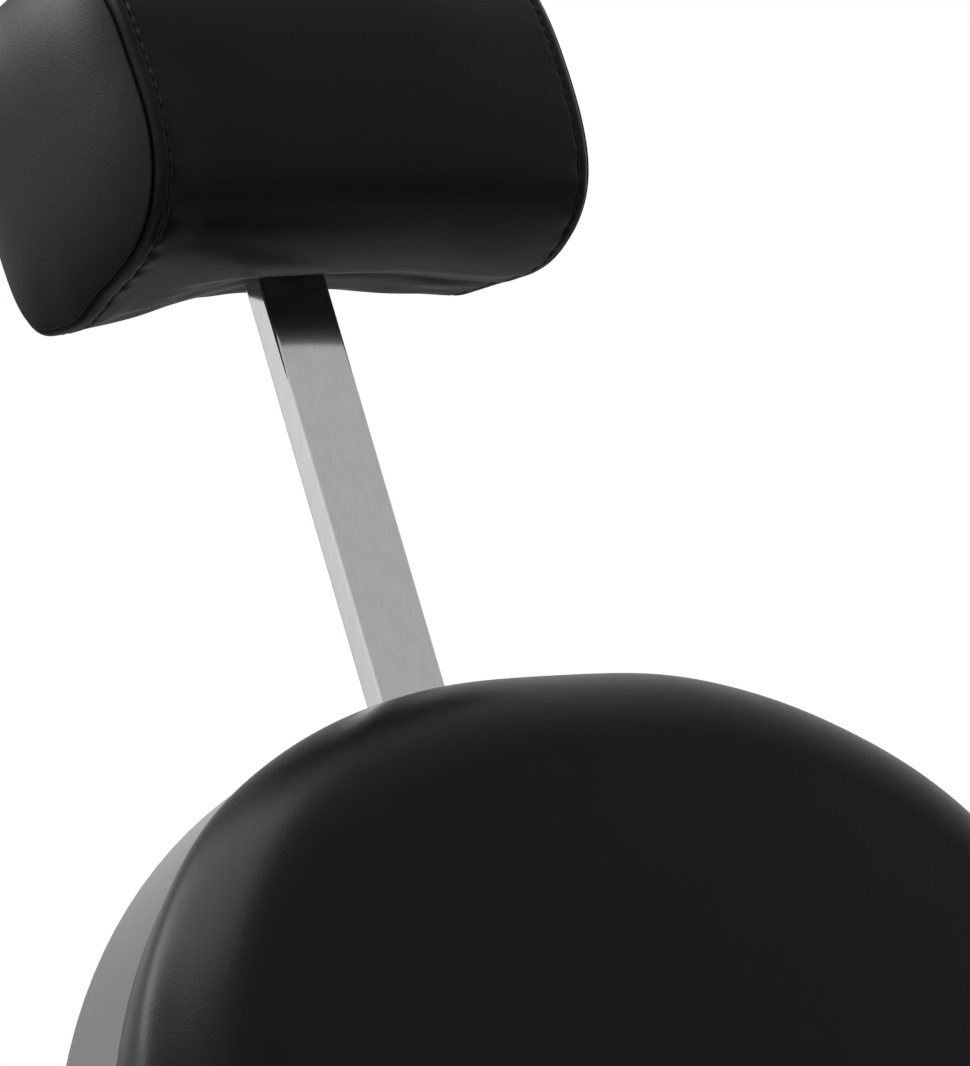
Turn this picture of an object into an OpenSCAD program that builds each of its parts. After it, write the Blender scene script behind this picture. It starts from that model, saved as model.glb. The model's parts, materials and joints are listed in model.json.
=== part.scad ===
// Barber chair: round base, hydraulic column, reclining round back and sliding bolster headrest.
// Millimetres. +Z is up, the sitter faces -Y and has -X at the right hand.
// The origin is on the floor at the middle of the base.

/* [Base] */
// Radius of the round base
base_r = 300; // [270:5:340]
// Height of the flat top of the base cover
base_h = 62; // [60:1:80]
// Height of the base cover's outer edge
base_edge_h = 12; // [10:1:20]
// Thickness of the cast plate inside the base
base_plate_t = 10; // [6:1:14]
// Thickness of the rubber floor pad
floor_pad_t = 4; // [3:0.5:6]
// Sheet thickness of the base cover
cover_t = 1.5; // [1:0.1:2.5]

/* [Column] */
// Outer radius of the pump body
pump_r = 45; // [40:1:50]
// Height of the pump body's top above the floor
pump_top = 280; // [270:2:284]
// Radius of the lifting ram
ram_r = 28; // [24:1:32]
// Outer radius of the column's cover tube
shroud_r = 60; // [56:1:66]
// Travel of the lift
lift_travel = 150; // [100:5:155]
// Length of the foot pedal from its pin to its end
pedal_len = 240; // [200:5:260]

/* [Seat frame] */
// Height of the underside of the frame rails at the lowest lift
rail_z = 344; // [344:1:380]
// Side of the square rail tube
rail_w = 30; // [26:1:34]
// Wall of the rail tube
rail_wall = 2.5; // [2:0.25:4]
// Distance from the middle of the chair to the middle of each rail
rail_x = 110; // [105:1:118]
// Length of the rails
rail_len = 504; // [490:1:520]
// Thickness of the flat crossbars
crossbar_t = 6; // [4:0.5:8]
// Width of the flat crossbars
crossbar_w = 50; // [40:1:60]

/* [Seat] */
// Half of the seat's width over its metal band
seat_half_w = 250; // [235:1:254]
// Reach of the seat in front of its middle
seat_front = 255; // [230:1:262]
// Reach of the seat behind its middle
seat_rear = 195; // [180:1:200]
// Thickness of the seat board
seat_board_t = 18; // [12:1:22]
// Depth of the seat's metal band
seat_band_h = 52; // [40:1:60]
// Height of the seat cushion's crown above the board
seat_cushion_h = 142; // [120:1:150]

/* [Arms] */
// Height of the arm loop
arm_h = 300; // [260:5:330]
// Length of the arm loop
arm_len = 340; // [300:5:350]
// Width of the arm's flat bar
arm_w = 40; // [34:1:46]
// Thickness of the arm's flat bar
arm_t = 12; // [8:1:14]
// Thickness of the arm pad
arm_pad_h = 34; // [26:1:42]

/* [Back] */
// Rake of the back from upright, in degrees
rake = 27.2; // [20:0.2:32]
// Radius of the round back over its metal band
back_r = 276.5; // [255:0.5:285]
// Depth of the back's metal band
back_band_h = 50; // [40:1:60]
// Wall of the metal bands
band_wall = 3; // [2:0.5:4]
// Height of the back cushion's crown above its band
back_crown = 75; // [55:1:80]
// Distance along the back from its hinge to its lower edge
back_rise = 83.5; // [80:0.5:100]
// Recline travel in degrees
recline_travel = 45; // [30:1:45]
// Thickness of the back board
back_board_t = 12; // [9:1:15]
// Thickness of the rear panel
back_panel_t = 4; // [3:0.5:6]

/* [Headrest] */
// Width of the headrest's bar
post_w = 38; // [32:1:42]
// Thickness of the headrest's bar
post_t = 13; // [10:1:14]
// Length of bar that shows between the back and the headrest
post_show = 215.5; // [205:0.5:235]
// Width of the headrest cushion between its end seams
head_w = 246; // [220:1:280]
// Height of the headrest cushion
head_h = 152; // [130:1:170]
// Depth of the headrest cushion
head_d = 144; // [130:1:160]
// Reach of the headrest in front of its bar
head_front = 98; // [90:1:110]

/* [Legrest and footrest] */
// Tilt of the legrest from upright, in degrees
legrest_tilt = 10; // [5:1:15]
// Half of the legrest's width
legrest_half_w = 165; // [155:1:180]
// Height of the legrest panel
legrest_h = 190; // [170:1:200]
// Width of the footplate
footplate_w = 260; // [220:1:264]
// Depth of the footplate
footplate_d = 115; // [90:1:125]

/* [Linkage] */
// Length of the lever arms of the leg linkage
link_arm = 60; // [52:1:62]
// Length of the gas spring's lever arm
gas_arm = 62; // [58:1:64]
// Radius of the gas spring's tube
gas_r = 11; // [9:0.5:11]
// Length of the gas spring's tube
gas_len = 280; // [250:1:285]

/* [Hidden] */
$fn = 64;

silver = [0.72, 0.72, 0.73];
polished = [0.82, 0.82, 0.84];
black = [0.08, 0.08, 0.09];
painted = [0.1, 0.1, 0.1];
dark_steel = [0.2, 0.2, 0.22];
ply = [0.72, 0.58, 0.4];
side_signs = [-1, 1];

// Shared clearances and overruns
over = 1;
tip_gap = 1;
run_fit = 0.05;
loose_fit = 0.3;
slide_fit = 0.15;
soft_gap = 0.3;
link_fit = 0.35;

// Base and column
cover_flat_r = 120;
cover_hole_gap = 2;
cover_power = 1.6;
cover_steps = 18;
cover_lift = 3;
plate_inset = 14;
pad_inset = 6;
plate_boss_r = 90;
plate_boss_h = 20;
plate_rib_r = 112;
plate_rib_w = 8;
plate_hole_r = 30;
flange_r = 82;
flange_t = 12;
flange_bolt_r = 65;
pump_floor_t = 16;
gland_t = 8;
gland_chamfer = 3;
shroud_wall = 2;
shroud_gap_top = 18;
shroud_neck_gap = 0.5;
shroud_slot_w = 22;
shroud_slot_z = 12;
shroud_slot_h = 40;
bolt_r = 5;
bolt_head_r = 9.8;
bolt_head_h = 6.4;
bolt_bite = 14;
plate_top = floor_pad_t + base_plate_t;
boss_top = plate_top + plate_boss_h;
flange_top = boss_top + flange_t;

// Pedal
pedal_pin_y = 95;
pedal_pin_r = 5;
pedal_pin_h = 26;
pedal_w = 16;
pedal_bar_h = 12;
pedal_fall = 28;
pedal_inner = 42;
pedal_cheek_t = 6;
pedal_cheek_w = 36;
pedal_cheek_r = 11;
pedal_foot_t = 5;
pedal_pad_w = 62;
pedal_pad_d = 46;
pedal_pad_t = 9;
pedal_pad_corner = 10;
pedal_pad_inset = 3;
pedal_rib_h = 2;
pedal_ribs = 5;

// Ram and hub: ram_hold stays in the pump at the top of the lift
ram_hold = 68;
spigot_r = 22;
washer_t = 3;
hub_r = 40;
hub_boss_h = 31;
hub_plate_t = 10;
hub_plate_x = 130;
hub_plate_y = 80;
hub_bolt_y = 60;
hub_top_gap = 4;
gusset_t = 8;
hub_plate_z = rail_z - hub_plate_t;
ram_shoulder_z = hub_plate_z - hub_boss_h - washer_t;

// Frame
rail_shift = 2;
rail_back_y = rail_len / 2 + rail_shift;
rail_front_y = rail_back_y - rail_len;
rail_top = rail_z + rail_w;
crossbar_x = 302;
crossbar_front_y = -120;
crossbar_rear_y = 80;
crossbar_ys = [crossbar_front_y, crossbar_rear_y];
frame_top = rail_top + crossbar_t;
bracket_t = 8;
bracket_foot_len = 88;
legrest_foot_len = 51;
bracket_x = rail_x + rail_w / 2;
plate_gap = 1;
arm_plate_t = 8;
arm_plate_x = bracket_x + bracket_t + plate_gap;
link_x = arm_plate_x + arm_plate_t + plate_gap;

// Hinge places
back_hinge_inset = 22;
back_hinge_rise = 76;
leg_hinge_out = 12;
leg_hinge_rise = 8;
back_hinge_y = rail_back_y - back_hinge_inset;
back_hinge_z = rail_z + back_hinge_rise;
leg_hinge_y = rail_front_y - leg_hinge_out;
leg_hinge_z = rail_z + leg_hinge_rise;
half_recline = recline_travel / 2;
shaft_r = 8;
shaft_collar_r = 12;
shaft_collar_t = 4;

// Seat
seat_cy = -8;
seat_front_power = 2.3;
seat_rear_power = 4;
seat_points = 48;
band_gap = 0.5;
seat_band_z = frame_top + band_gap;
seat_screw_x = 190;
screw_r = 3;
screw_head_r = 6;
screw_head_h = 2.5;
screw_bite = 10;

// Arms
arm_x = crossbar_x - arm_w / 2;
arm_cy = -30;
arm_corner = 62;
arm_foot_corner = 40;
arm_pad_base_t = 8;
arm_pad_half_w = 31;
arm_pad_half_len = 158;
arm_pad_base_inset = 8;
arm_pad_power = 5;
arm_pad_screw_y = 90;

// Back, in its own raked frame: hinge at the origin, Z along the back, -Y to its front
post_y = 30;
post_gap = 3.5;
back_rear_y = post_y - post_t / 2 - post_gap;
back_cz = back_rise + back_r;
back_power = 2.35;
back_points = 56;
arm_strip_w = 28;
arm_strip_low = 110;
arm_strip_high = 310;
arm_flange_t = 5;
arm_flange_w = 24;
arm_boss_r = 22;
link_boss_r = 12;
link_pin_r = 6;
link_bar_t = 8;
link_bar_h = 18;
link_pin_end = 3;
back_screw_zs = [150, 200, 250, 295];

// Headrest guide behind the back
guide_wall = 8;
guide_low = 455;
guide_high = 600;
guide_wing = 18;
guide_wing_t = 4;
guide_wing_inset = 10;
guide_screw_inset = 30;
guide_window_w = 26;
guide_window_h = 52;
pad_cover_t = 2;
pad_cover_lap = 8;
post_low = 415;
stop_t = 6;
stop_lap = 3;
post_in_head = 113;
head_low = back_cz + back_r + post_show;
head_power_front = 2.75;
head_power_rear = 4.5;
head_points = 32;
head_crown = 3;
head_puff = 4;
head_pinch = 12.5;
head_seam_inset = 2.5;
core_w = 190;
core_t = 12;
core_h = 100;
core_rise = 28;
head_bolt_r = 4;
head_bolt_head_r = 7;
head_bolt_head_h = 5;
head_bolt_rises = [48, 93];
head_slot_gap = 0.5;

// Gas spring
gas_x = -75;
gas_front_inset = 120;
gas_front_y = rail_front_y + gas_front_inset;
gas_wall = 1.5;
gas_cap_t = 12;
gas_rod_r = 5;
gas_piston_t = 10;
gas_rod_inside = 50;
gas_stud_len = 24;
gas_z = back_hinge_z - gas_arm * (1 + cos(half_recline)) / 2;
gas_pin_y = back_hinge_y + gas_arm * sin(half_recline);
gas_pin_r = 5;
gas_eye_t = 8;
gas_eye_w = 24;
gas_eye_h = 28;
gas_slot_reach = gas_arm * (1 - cos(half_recline)) / 2;
gas_lever_t = 5;
gas_lever_gap = 2;
gas_lever_r = 11;
gas_boss_r = 16;
gas_mount_t = 12;
gas_mount_h = 22;
gas_nut_r = 8;
gas_nut_t = 5;

// Legrest, in its own tilted frame: hinge at the origin, Z up along the panel
legrest_drop = 22;
legrest_power = 4;
legrest_points = 40;
legrest_board_y = 8;
legrest_board_t = 12;
legrest_band_h = 32;
legrest_crown = 24;
legrest_strip_w = 22;
legrest_pin_r = 7;
legrest_boss_r = 17;
legrest_cz = -legrest_drop - legrest_h / 2;

// Footrest
foot_hinge_y = -82;
foot_drop = 38;
foot_hinge_z = -legrest_drop - legrest_h - foot_drop;
foot_strip_h = 24;
foot_pin_r = 6;
footplate_t = 4;
footplate_lip = 10;
footplate_corner = 22;
foot_lug_r = 11;
foot_lug_t = 12;
tread_t = 3;
tread_w = 12;
tread_corner = 4;
tread_count = 5;
tread_inset = 16;

// Release handle
release_inset = 78;
release_y = rail_front_y + release_inset;
release_z = rail_z + rail_w / 2;
release_r = 6;
release_x_out = 326;
release_arm_t = 8;
release_arm_h = 14;
release_arm_len = 120;
release_rise = 6;
release_grip_r = 12;
release_grip_len = 72;
release_nose = 16;
release_cam_r = 9;
release_bush_t = 12;
release_bush_r = 14;

// Directions of the lever arms at rest, measured in the raked and tilted frames
back_lever_turn = half_recline + rake;
leg_lever_turn = half_recline + legrest_tilt;
link_len = norm([back_hinge_y - leg_hinge_y, back_hinge_z - leg_hinge_z]);
link_turn = atan2(back_hinge_z - leg_hinge_z, back_hinge_y - leg_hinge_y);

function power_of(value, power) = sign(value) * pow(abs(value), power);

// A closed outline, half_w to each side, with its own reach and squareness on +Y and on -Y
function outline(half_w, far, near, far_power, near_power, inset, count) =
    [for (i = [0 : count - 1])
        let (c = cos(360 * i / count), s = sin(360 * i / count))
        let (power = s >= 0 ? far_power : near_power)
        let (reach = (s >= 0 ? far : near) - inset)
        [(half_w - inset) * power_of(c, 2 / power), reach * power_of(s, 2 / power)]];

// One level of a cushion: the outline shrunk about its middle, at a height
function level(points, share, z) = [for (p = points) [p.x * share, p.y * share, z]];

// Skins a stack of rings, each the same number of points anticlockwise seen from its end
module loft(rings, first, final) {
    count = len(rings[0]);
    last = len(rings) - 1;
    side_faces = [for (k = [0 : last - 1]) for (i = [0 : count - 1])
        let (j = (i + 1) % count, low = k * count, high = low + count)
        for (face = [[low + i, high + i, high + j], [low + i, high + j, low + j]]) face];
    first_at = (last + 1) * count;
    first_faces = [for (i = [0 : count - 1]) [i, (i + 1) % count, first_at]];
    last_faces = [for (i = [0 : count - 1])
        [last * count + i, first_at + 1, last * count + (i + 1) % count]];
    polyhedron(
        points = concat([for (ring = rings) for (p = ring) p], [first, final]),
        faces = concat(side_faces, first_faces, last_faces),
        convexity = 6
    );
}

function seat_outline(inset) =
    outline(seat_half_w, seat_rear, seat_front, seat_rear_power, seat_front_power, inset, seat_points);
function legrest_outline(inset) =
    outline(legrest_half_w, legrest_h / 2, legrest_h / 2, legrest_power, legrest_power, inset,
        legrest_points);

// Frames of the parts that lean
module in_back() {
    translate([0, back_hinge_y, back_hinge_z]) rotate([-rake, 0, 0]) children();
}

module on_back_disc() {
    in_back() translate([0, back_rear_y, back_cz]) rotate([90, 0, 0]) children();
}

module in_legrest() {
    translate([0, leg_hinge_y, leg_hinge_z]) rotate([-legrest_tilt, 0, 0]) children();
}

// Turns a flat drawing in Y and Z into a plate that stands across X, from x to x + t
module side_plate(x, t) {
    translate([x, 0, 0]) rotate([90, 0, 90]) linear_extrude(t) children();
}

module both_sides() {
    children();
    mirror([1, 0, 0]) children();
}

// A round bar along X
module bar_x(x0, x1, r) {
    translate([x0, 0, 0]) rotate([0, 90, 0]) cylinder(r = r, h = x1 - x0);
}

// A round bar along Y
module bar_y(y0, y1, r) {
    translate([0, y0, 0]) rotate([-90, 0, 0]) cylinder(r = r, h = y1 - y0);
}

// A flat strip from one point to another with square ends
module strip(from, to, w) {
    step = to - from;
    translate(from) rotate(atan2(step.y, step.x)) translate([0, -w / 2]) square([norm(step), w]);
}

module rounded_rect(w, h, r) {
    square([w - 2 * r, h], center = true);
    square([w, h - 2 * r], center = true);
    for (sx = side_signs) for (sy = side_signs)
        translate([sx * (w / 2 - r), sy * (h / 2 - r)]) circle(r);
}

module hex_bolt(shank) {
    cylinder(r = bolt_head_r, h = bolt_head_h, $fn = 6);
    cylinder(r = bolt_r, h = bolt_head_h + shank);
}

module pan_screw(bite) {
    cylinder(r = screw_head_r, h = screw_head_h);
    cylinder(r = screw_r, h = screw_head_h + bite);
}

// Base

module floor_pad() {
    color(black) cylinder(r = base_r - pad_inset, h = floor_pad_t, $fn = 96);
}

module base_plate() {
    color(dark_steel) difference() {
        union() {
            translate([0, 0, floor_pad_t])
                cylinder(r = base_r - plate_inset, h = base_plate_t, $fn = 96);
            translate([0, 0, plate_top]) cylinder(r = plate_boss_r, h = plate_boss_h);
            translate([0, 0, plate_top]) difference() {
                cylinder(r = plate_rib_r, h = base_h - cover_t - plate_top);
                cylinder(r = plate_rib_r - plate_rib_w, h = base_h);
            }
        }
        translate([0, 0, floor_pad_t - over]) cylinder(r = plate_hole_r, h = base_h);
        for (a = [45 : 90 : 315]) rotate(a) translate([flange_bolt_r, 0, boss_top - bolt_bite - over])
            cylinder(r = bolt_r + run_fit, h = bolt_bite + 2 * over);
    }
}

function cover_z(r) = base_h - (base_h - base_edge_h)
    * pow(max(r - cover_flat_r, 0) / (base_r - cover_flat_r), cover_power);
function cover_line(drop) = [for (k = [0 : cover_steps])
    let (r = cover_flat_r + (base_r - cover_flat_r) * k / cover_steps)
    [r - (k == cover_steps ? drop : 0), cover_z(r) - drop]];

module base_cover() {
    hole = pump_r + cover_hole_gap;
    top = cover_line(0);
    under = cover_line(cover_t);
    color(polished) rotate_extrude($fn = 128) polygon(concat(
        [[hole, base_h - cover_t], [hole, base_h]],
        top,
        [[base_r, cover_lift], [base_r - cover_t, cover_lift]],
        [for (k = [cover_steps : -1 : 0]) under[k]]
    ));
}

module pump_body() {
    color(dark_steel) difference() {
        union() {
            translate([0, 0, boss_top]) cylinder(r = flange_r, h = flange_t);
            translate([0, 0, boss_top]) cylinder(r = pump_r, h = pump_top - boss_top);
        }
        translate([0, 0, boss_top + pump_floor_t]) cylinder(r = ram_r + run_fit, h = pump_top);
        for (a = [45 : 90 : 315]) rotate(a) translate([flange_bolt_r, 0, boss_top - over])
            cylinder(r = bolt_r + loose_fit, h = flange_t + 2 * over);
    }
}

module pump_bolts() {
    color(silver) for (a = [45 : 90 : 315]) rotate(a)
        translate([flange_bolt_r, 0, flange_top + bolt_head_h]) mirror([0, 0, 1])
            hex_bolt(flange_t + bolt_bite);
}

module pump_gland() {
    color(polished) translate([0, 0, pump_top]) rotate_extrude() polygon([
        [ram_r + run_fit, 0], [pump_r, 0], [pump_r, gland_t - gland_chamfer],
        [pump_r - gland_chamfer, gland_t], [ram_r + run_fit, gland_t]
    ]);
}

module column_shroud() {
    top = pump_top - shroud_gap_top;
    color(polished) difference() {
        rotate_extrude($fn = 96) polygon([
            [shroud_r - shroud_wall, base_h], [shroud_r, base_h], [shroud_r, top],
            [pump_r + shroud_neck_gap, top], [pump_r + shroud_neck_gap, top - shroud_wall],
            [shroud_r - shroud_wall, top - shroud_wall]
        ]);
        translate([-shroud_slot_w / 2, 0, base_h + shroud_slot_z])
            cube([shroud_slot_w, shroud_r + over, shroud_slot_h]);
    }
}

// Pump pedal

pedal_pin_z = base_h + pedal_pin_h;

module pedal_bracket() {
    cheek_x = pedal_w / 2 + plate_gap;
    color(dark_steel) difference() {
        union() {
            translate([-cheek_x - pedal_cheek_t, pedal_pin_y - pedal_cheek_w / 2, base_h])
                cube([2 * (cheek_x + pedal_cheek_t), pedal_cheek_w, pedal_foot_t]);
            for (s = side_signs) translate([0, pedal_pin_y, pedal_pin_z])
                side_plate(s * (cheek_x + pedal_cheek_t / 2) - pedal_cheek_t / 2, pedal_cheek_t) {
                    circle(pedal_cheek_r);
                    translate([-pedal_cheek_r, -pedal_pin_h]) square([2 * pedal_cheek_r, pedal_pin_h]);
                }
        }
        translate([0, pedal_pin_y, pedal_pin_z])
            bar_x(-pedal_cheek_w, pedal_cheek_w, pedal_pin_r + run_fit);
    }
}

module pump_pedal() {
    tip = [pedal_len, -pedal_fall];
    pin_x = pedal_w / 2 + plate_gap + pedal_cheek_t;
    color(polished) translate([0, pedal_pin_y, pedal_pin_z]) {
        side_plate(-pedal_w / 2, pedal_w) {
            strip([0, 0], tip, pedal_bar_h);
            strip([-pedal_inner, 0], [0, 0], pedal_bar_h);
            circle(pedal_bar_h / 2);
        }
        bar_x(-pin_x, pin_x, pedal_pin_r);
    }
}

// The pedal's rubber shoe sits round the last stretch of the bar
module pedal_pad() {
    turn = atan2(-pedal_fall, pedal_len);
    length = norm([pedal_len, pedal_fall]);
    rib_step = (pedal_pad_d - 2 * pedal_pad_corner) / (pedal_ribs - 1);
    color(black) translate([0, pedal_pin_y, pedal_pin_z]) rotate([turn, 0, 0])
        translate([0, length - pedal_pad_d / 2 + pedal_pad_inset, pedal_bar_h / 2]) {
            linear_extrude(pedal_pad_t) rounded_rect(pedal_pad_w, pedal_pad_d, pedal_pad_corner);
            for (k = [0 : pedal_ribs - 1])
                translate([-pedal_pad_w / 2 + pedal_pad_corner,
                    -pedal_pad_d / 2 + pedal_pad_corner + k * rib_step - pedal_rib_h / 2, 0])
                    cube([pedal_pad_w - 2 * pedal_pad_corner, pedal_rib_h, pedal_pad_t + pedal_rib_h]);
        }
}

// Lift and swivel

module lift_ram() {
    foot = pump_top - lift_travel - ram_hold;
    color(polished) {
        translate([0, 0, foot]) cylinder(r = ram_r, h = ram_shoulder_z - foot);
        translate([0, 0, foot]) cylinder(r = spigot_r, h = rail_z - hub_top_gap - foot);
    }
}

module swivel_washer() {
    color("goldenrod") translate([0, 0, ram_shoulder_z]) difference() {
        cylinder(r = ram_r, h = washer_t);
        translate([0, 0, -over]) cylinder(r = spigot_r + run_fit, h = washer_t + 2 * over);
    }
}

module swivel_hub() {
    color(dark_steel) difference() {
        union() {
            translate([0, 0, ram_shoulder_z + washer_t]) cylinder(r = hub_r, h = hub_boss_h);
            translate([-hub_plate_x, -hub_plate_y, hub_plate_z])
                cube([2 * hub_plate_x, 2 * hub_plate_y, hub_plate_t]);
            for (a = [0 : 90 : 270]) rotate([90, 0, a])
                translate([0, 0, -gusset_t / 2]) linear_extrude(gusset_t)
                    polygon([[0, hub_plate_z - hub_boss_h], [hub_r, hub_plate_z - hub_boss_h],
                        [hub_plate_y - gusset_t, hub_plate_z], [0, hub_plate_z]]);
        }
        translate([0, 0, ram_shoulder_z]) cylinder(r = spigot_r + run_fit, h = rail_z);
        for (sx = side_signs) for (sy = side_signs)
            translate([sx * rail_x, sy * hub_bolt_y, hub_plate_z - over])
                cylinder(r = bolt_r + run_fit, h = hub_plate_t + 2 * over);
    }
}

module hub_bolts() {
    color(silver) for (sx = side_signs) for (sy = side_signs)
        translate([sx * rail_x, sy * hub_bolt_y, hub_plate_z - bolt_head_h]) {
            hex_bolt(hub_plate_t + rail_wall + bolt_head_h);
            translate([0, 0, bolt_head_h + hub_plate_t + rail_wall])
                cylinder(r = bolt_head_r, h = bolt_head_h, $fn = 6);
        }
}

// Seat frame

module seat_rails() {
    inner = rail_w - 2 * rail_wall;
    color(dark_steel) both_sides() difference() {
        translate([rail_x - rail_w / 2, rail_front_y, rail_z]) cube([rail_w, rail_len, rail_w]);
        translate([rail_x - inner / 2, rail_front_y - over, rail_z + rail_wall])
            cube([inner, rail_len + 2 * over, inner]);
        for (y = [-hub_bolt_y, hub_bolt_y]) translate([rail_x, y, rail_z - over])
            cylinder(r = bolt_r + run_fit, h = rail_wall + 2 * over);
        translate([0, release_y, release_z]) bar_x(0, rail_x + rail_w, release_r + loose_fit);
    }
}

module seat_crossbars() {
    color(dark_steel) for (y = crossbar_ys) difference() {
        translate([-crossbar_x, y - crossbar_w / 2, rail_top])
            cube([2 * crossbar_x, crossbar_w, crossbar_t]);
        for (s = side_signs) {
            translate([s * arm_x, y, rail_top - over])
                cylinder(r = bolt_r + run_fit, h = crossbar_t + 2 * over);
            translate([s * seat_screw_x, y, rail_top - over])
                cylinder(r = screw_r + run_fit, h = crossbar_t + 2 * over);
        }
    }
}

// Upright plates on the rails' outer faces that carry the back's shaft
module recline_brackets() {
    foot_front = back_hinge_y - bracket_foot_len;
    hinge = [back_hinge_y, back_hinge_z];
    color(dark_steel) both_sides() difference() {
        side_plate(bracket_x, bracket_t) {
            translate(hinge) circle(arm_boss_r);
            translate([foot_front, rail_z]) square([rail_back_y - foot_front, rail_w]);
            strip([back_hinge_y, rail_top - rail_wall], hinge, 2 * arm_boss_r);
        }
        translate([0, back_hinge_y, back_hinge_z]) bar_x(0, link_x, shaft_r + run_fit);
    }
}

module legrest_brackets() {
    hinge = [leg_hinge_y, leg_hinge_z];
    color(dark_steel) both_sides() difference() {
        side_plate(bracket_x, bracket_t) {
            translate(hinge) circle(legrest_boss_r);
            strip(hinge, hinge + [legrest_boss_r, 0], 2 * legrest_boss_r);
            translate([rail_front_y, rail_z]) square([legrest_foot_len, rail_w]);
        }
        translate([0, leg_hinge_y, leg_hinge_z]) bar_x(0, link_x, legrest_pin_r + run_fit);
    }
}

module seat_board() {
    color(painted) translate([0, seat_cy, frame_top]) difference() {
        linear_extrude(seat_board_t) polygon(seat_outline(band_wall));
        for (sx = side_signs) for (y = crossbar_ys)
            translate([sx * seat_screw_x, y - seat_cy, -over])
                cylinder(r = screw_r + run_fit, h = screw_bite + 2 * over);
    }
}

module seat_screws() {
    color(silver) for (sx = side_signs) for (y = crossbar_ys)
        translate([sx * seat_screw_x, y, rail_top - screw_head_h]) pan_screw(crossbar_t + screw_bite);
}

module seat_band() {
    color(silver) translate([0, seat_cy, seat_band_z]) linear_extrude(seat_band_h) difference() {
        polygon(seat_outline(0));
        polygon(seat_outline(band_wall));
    }
}

// Levels of an upholstered pad: inside its band, pinched at the band's edge, bulging over it,
// then rounding in to a low dome
function pad_levels(in_band, bulge, edge, crown, dome, side_steps, dome_steps) = concat(
    [[band_wall + soft_gap, 1, 0], [band_wall + soft_gap, 1, in_band],
        [-bulge * pinch_share, 1, in_band + soft_gap]],
    [for (k = [0 : side_steps])
        let (turn = 90 * k / side_steps, low = in_band + bulge)
        [edge * (1 - cos(turn)) - bulge, 1, low + (crown - dome - low) * sin(turn)]],
    [for (k = [1 : dome_steps])
        let (share = k / (dome_steps + 1))
        [edge - bulge, 1 - share, crown - dome + dome * (1 - pow(1 - share, 2))]]
);
pinch_share = 0.2;

// Seat cushion
seat_bulge = 5;
seat_edge = 46;
seat_dome = 26;
seat_side_steps = 6;
seat_dome_steps = 5;

module seat_cushion() {
    in_band = seat_band_z + seat_band_h - frame_top - seat_board_t - soft_gap;
    levels = pad_levels(in_band, seat_bulge, seat_edge, seat_cushion_h - soft_gap, seat_dome,
        seat_side_steps, seat_dome_steps);
    color(black) translate([0, seat_cy, frame_top + seat_board_t + soft_gap]) loft(
        [for (l = levels) level(seat_outline(l[0]), l[1], l[2])],
        [0, 0, 0],
        [0, 0, seat_cushion_h - soft_gap]
    );
}

// Arms

module arm_frame(s) {
    color(polished) difference() {
        side_plate(s * arm_x - arm_w / 2, arm_w) translate([arm_cy, frame_top + arm_h / 2]) difference() {
            arm_outline(arm_len, arm_h, arm_corner, arm_foot_corner);
            arm_outline(arm_len - 2 * arm_t, arm_h - 2 * arm_t, arm_corner - arm_t, arm_foot_corner - arm_t);
        }
        for (y = crossbar_ys) translate([s * arm_x, y, frame_top - over])
            cylinder(r = bolt_r + run_fit, h = arm_t + 2 * over);
        for (y = [-arm_pad_screw_y, arm_pad_screw_y])
            translate([s * arm_x, arm_cy + y, frame_top + arm_h - arm_t - over])
                cylinder(r = screw_r + run_fit, h = arm_t + 2 * over);
    }
}

// A rectangle whose upper corners are rounder than its lower ones
module arm_outline(w, h, top_r, low_r) {
    union() {
        translate([0, h / 2 - top_r / 2 - low_r / 2]) square([w - 2 * top_r, top_r + low_r], center = true);
        translate([-w / 2, -h / 2 + low_r]) square([w, h - top_r - low_r]);
        translate([-w / 2 + low_r, -h / 2]) square([w - 2 * low_r, low_r + over]);
        for (s = side_signs) {
            translate([s * (w / 2 - top_r), h / 2 - top_r]) circle(top_r);
            translate([s * (w / 2 - low_r), -h / 2 + low_r]) circle(low_r);
        }
    }
}

arm_top = frame_top + arm_h;
arm_pad_points = 32;
function arm_pad_outline(inset) =
    outline(arm_pad_half_w, arm_pad_half_len, arm_pad_half_len, arm_pad_power, arm_pad_power, inset,
        arm_pad_points);

module arm_pad_base(s) {
    color(black) translate([s * arm_x, arm_cy, arm_top]) difference() {
        linear_extrude(arm_pad_base_t) polygon(arm_pad_outline(arm_pad_base_inset));
        for (y = [-arm_pad_screw_y, arm_pad_screw_y]) translate([0, y, -over])
            cylinder(r = screw_r + run_fit, h = arm_pad_base_t);
    }
}

// Arm pad
arm_pad_bulge = 2;
arm_pad_edge = 11;
arm_pad_dome = 5;
arm_pad_wall_h = 11;
arm_pad_side_steps = 5;
arm_pad_dome_steps = 2;

module arm_pad(s) {
    levels = concat([[arm_pad_bulge, 1, 0]],
        [for (k = [0 : arm_pad_side_steps])
            let (turn = 90 * k / arm_pad_side_steps, low = arm_pad_wall_h)
            [arm_pad_edge * (1 - cos(turn)), 1, low + (arm_pad_h - arm_pad_dome - low) * sin(turn)]],
        [for (k = [1 : arm_pad_dome_steps])
            let (share = k / (arm_pad_dome_steps + 1))
            [arm_pad_edge, 1 - share, arm_pad_h - arm_pad_dome * pow(1 - share, 2)]]
    );
    color(black) translate([s * arm_x, arm_cy, arm_top + arm_pad_base_t + soft_gap]) loft(
        [for (l = levels) level(arm_pad_outline(l[0]), l[1], l[2])],
        [0, 0, 0],
        [0, 0, arm_pad_h]
    );
}

module arm_frame_right() { arm_frame(-1); }
module arm_frame_left() { arm_frame(1); }
module arm_pad_base_right() { arm_pad_base(-1); }
module arm_pad_base_left() { arm_pad_base(1); }
module arm_pad_right() { arm_pad(-1); }
module arm_pad_left() { arm_pad(1); }

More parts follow.
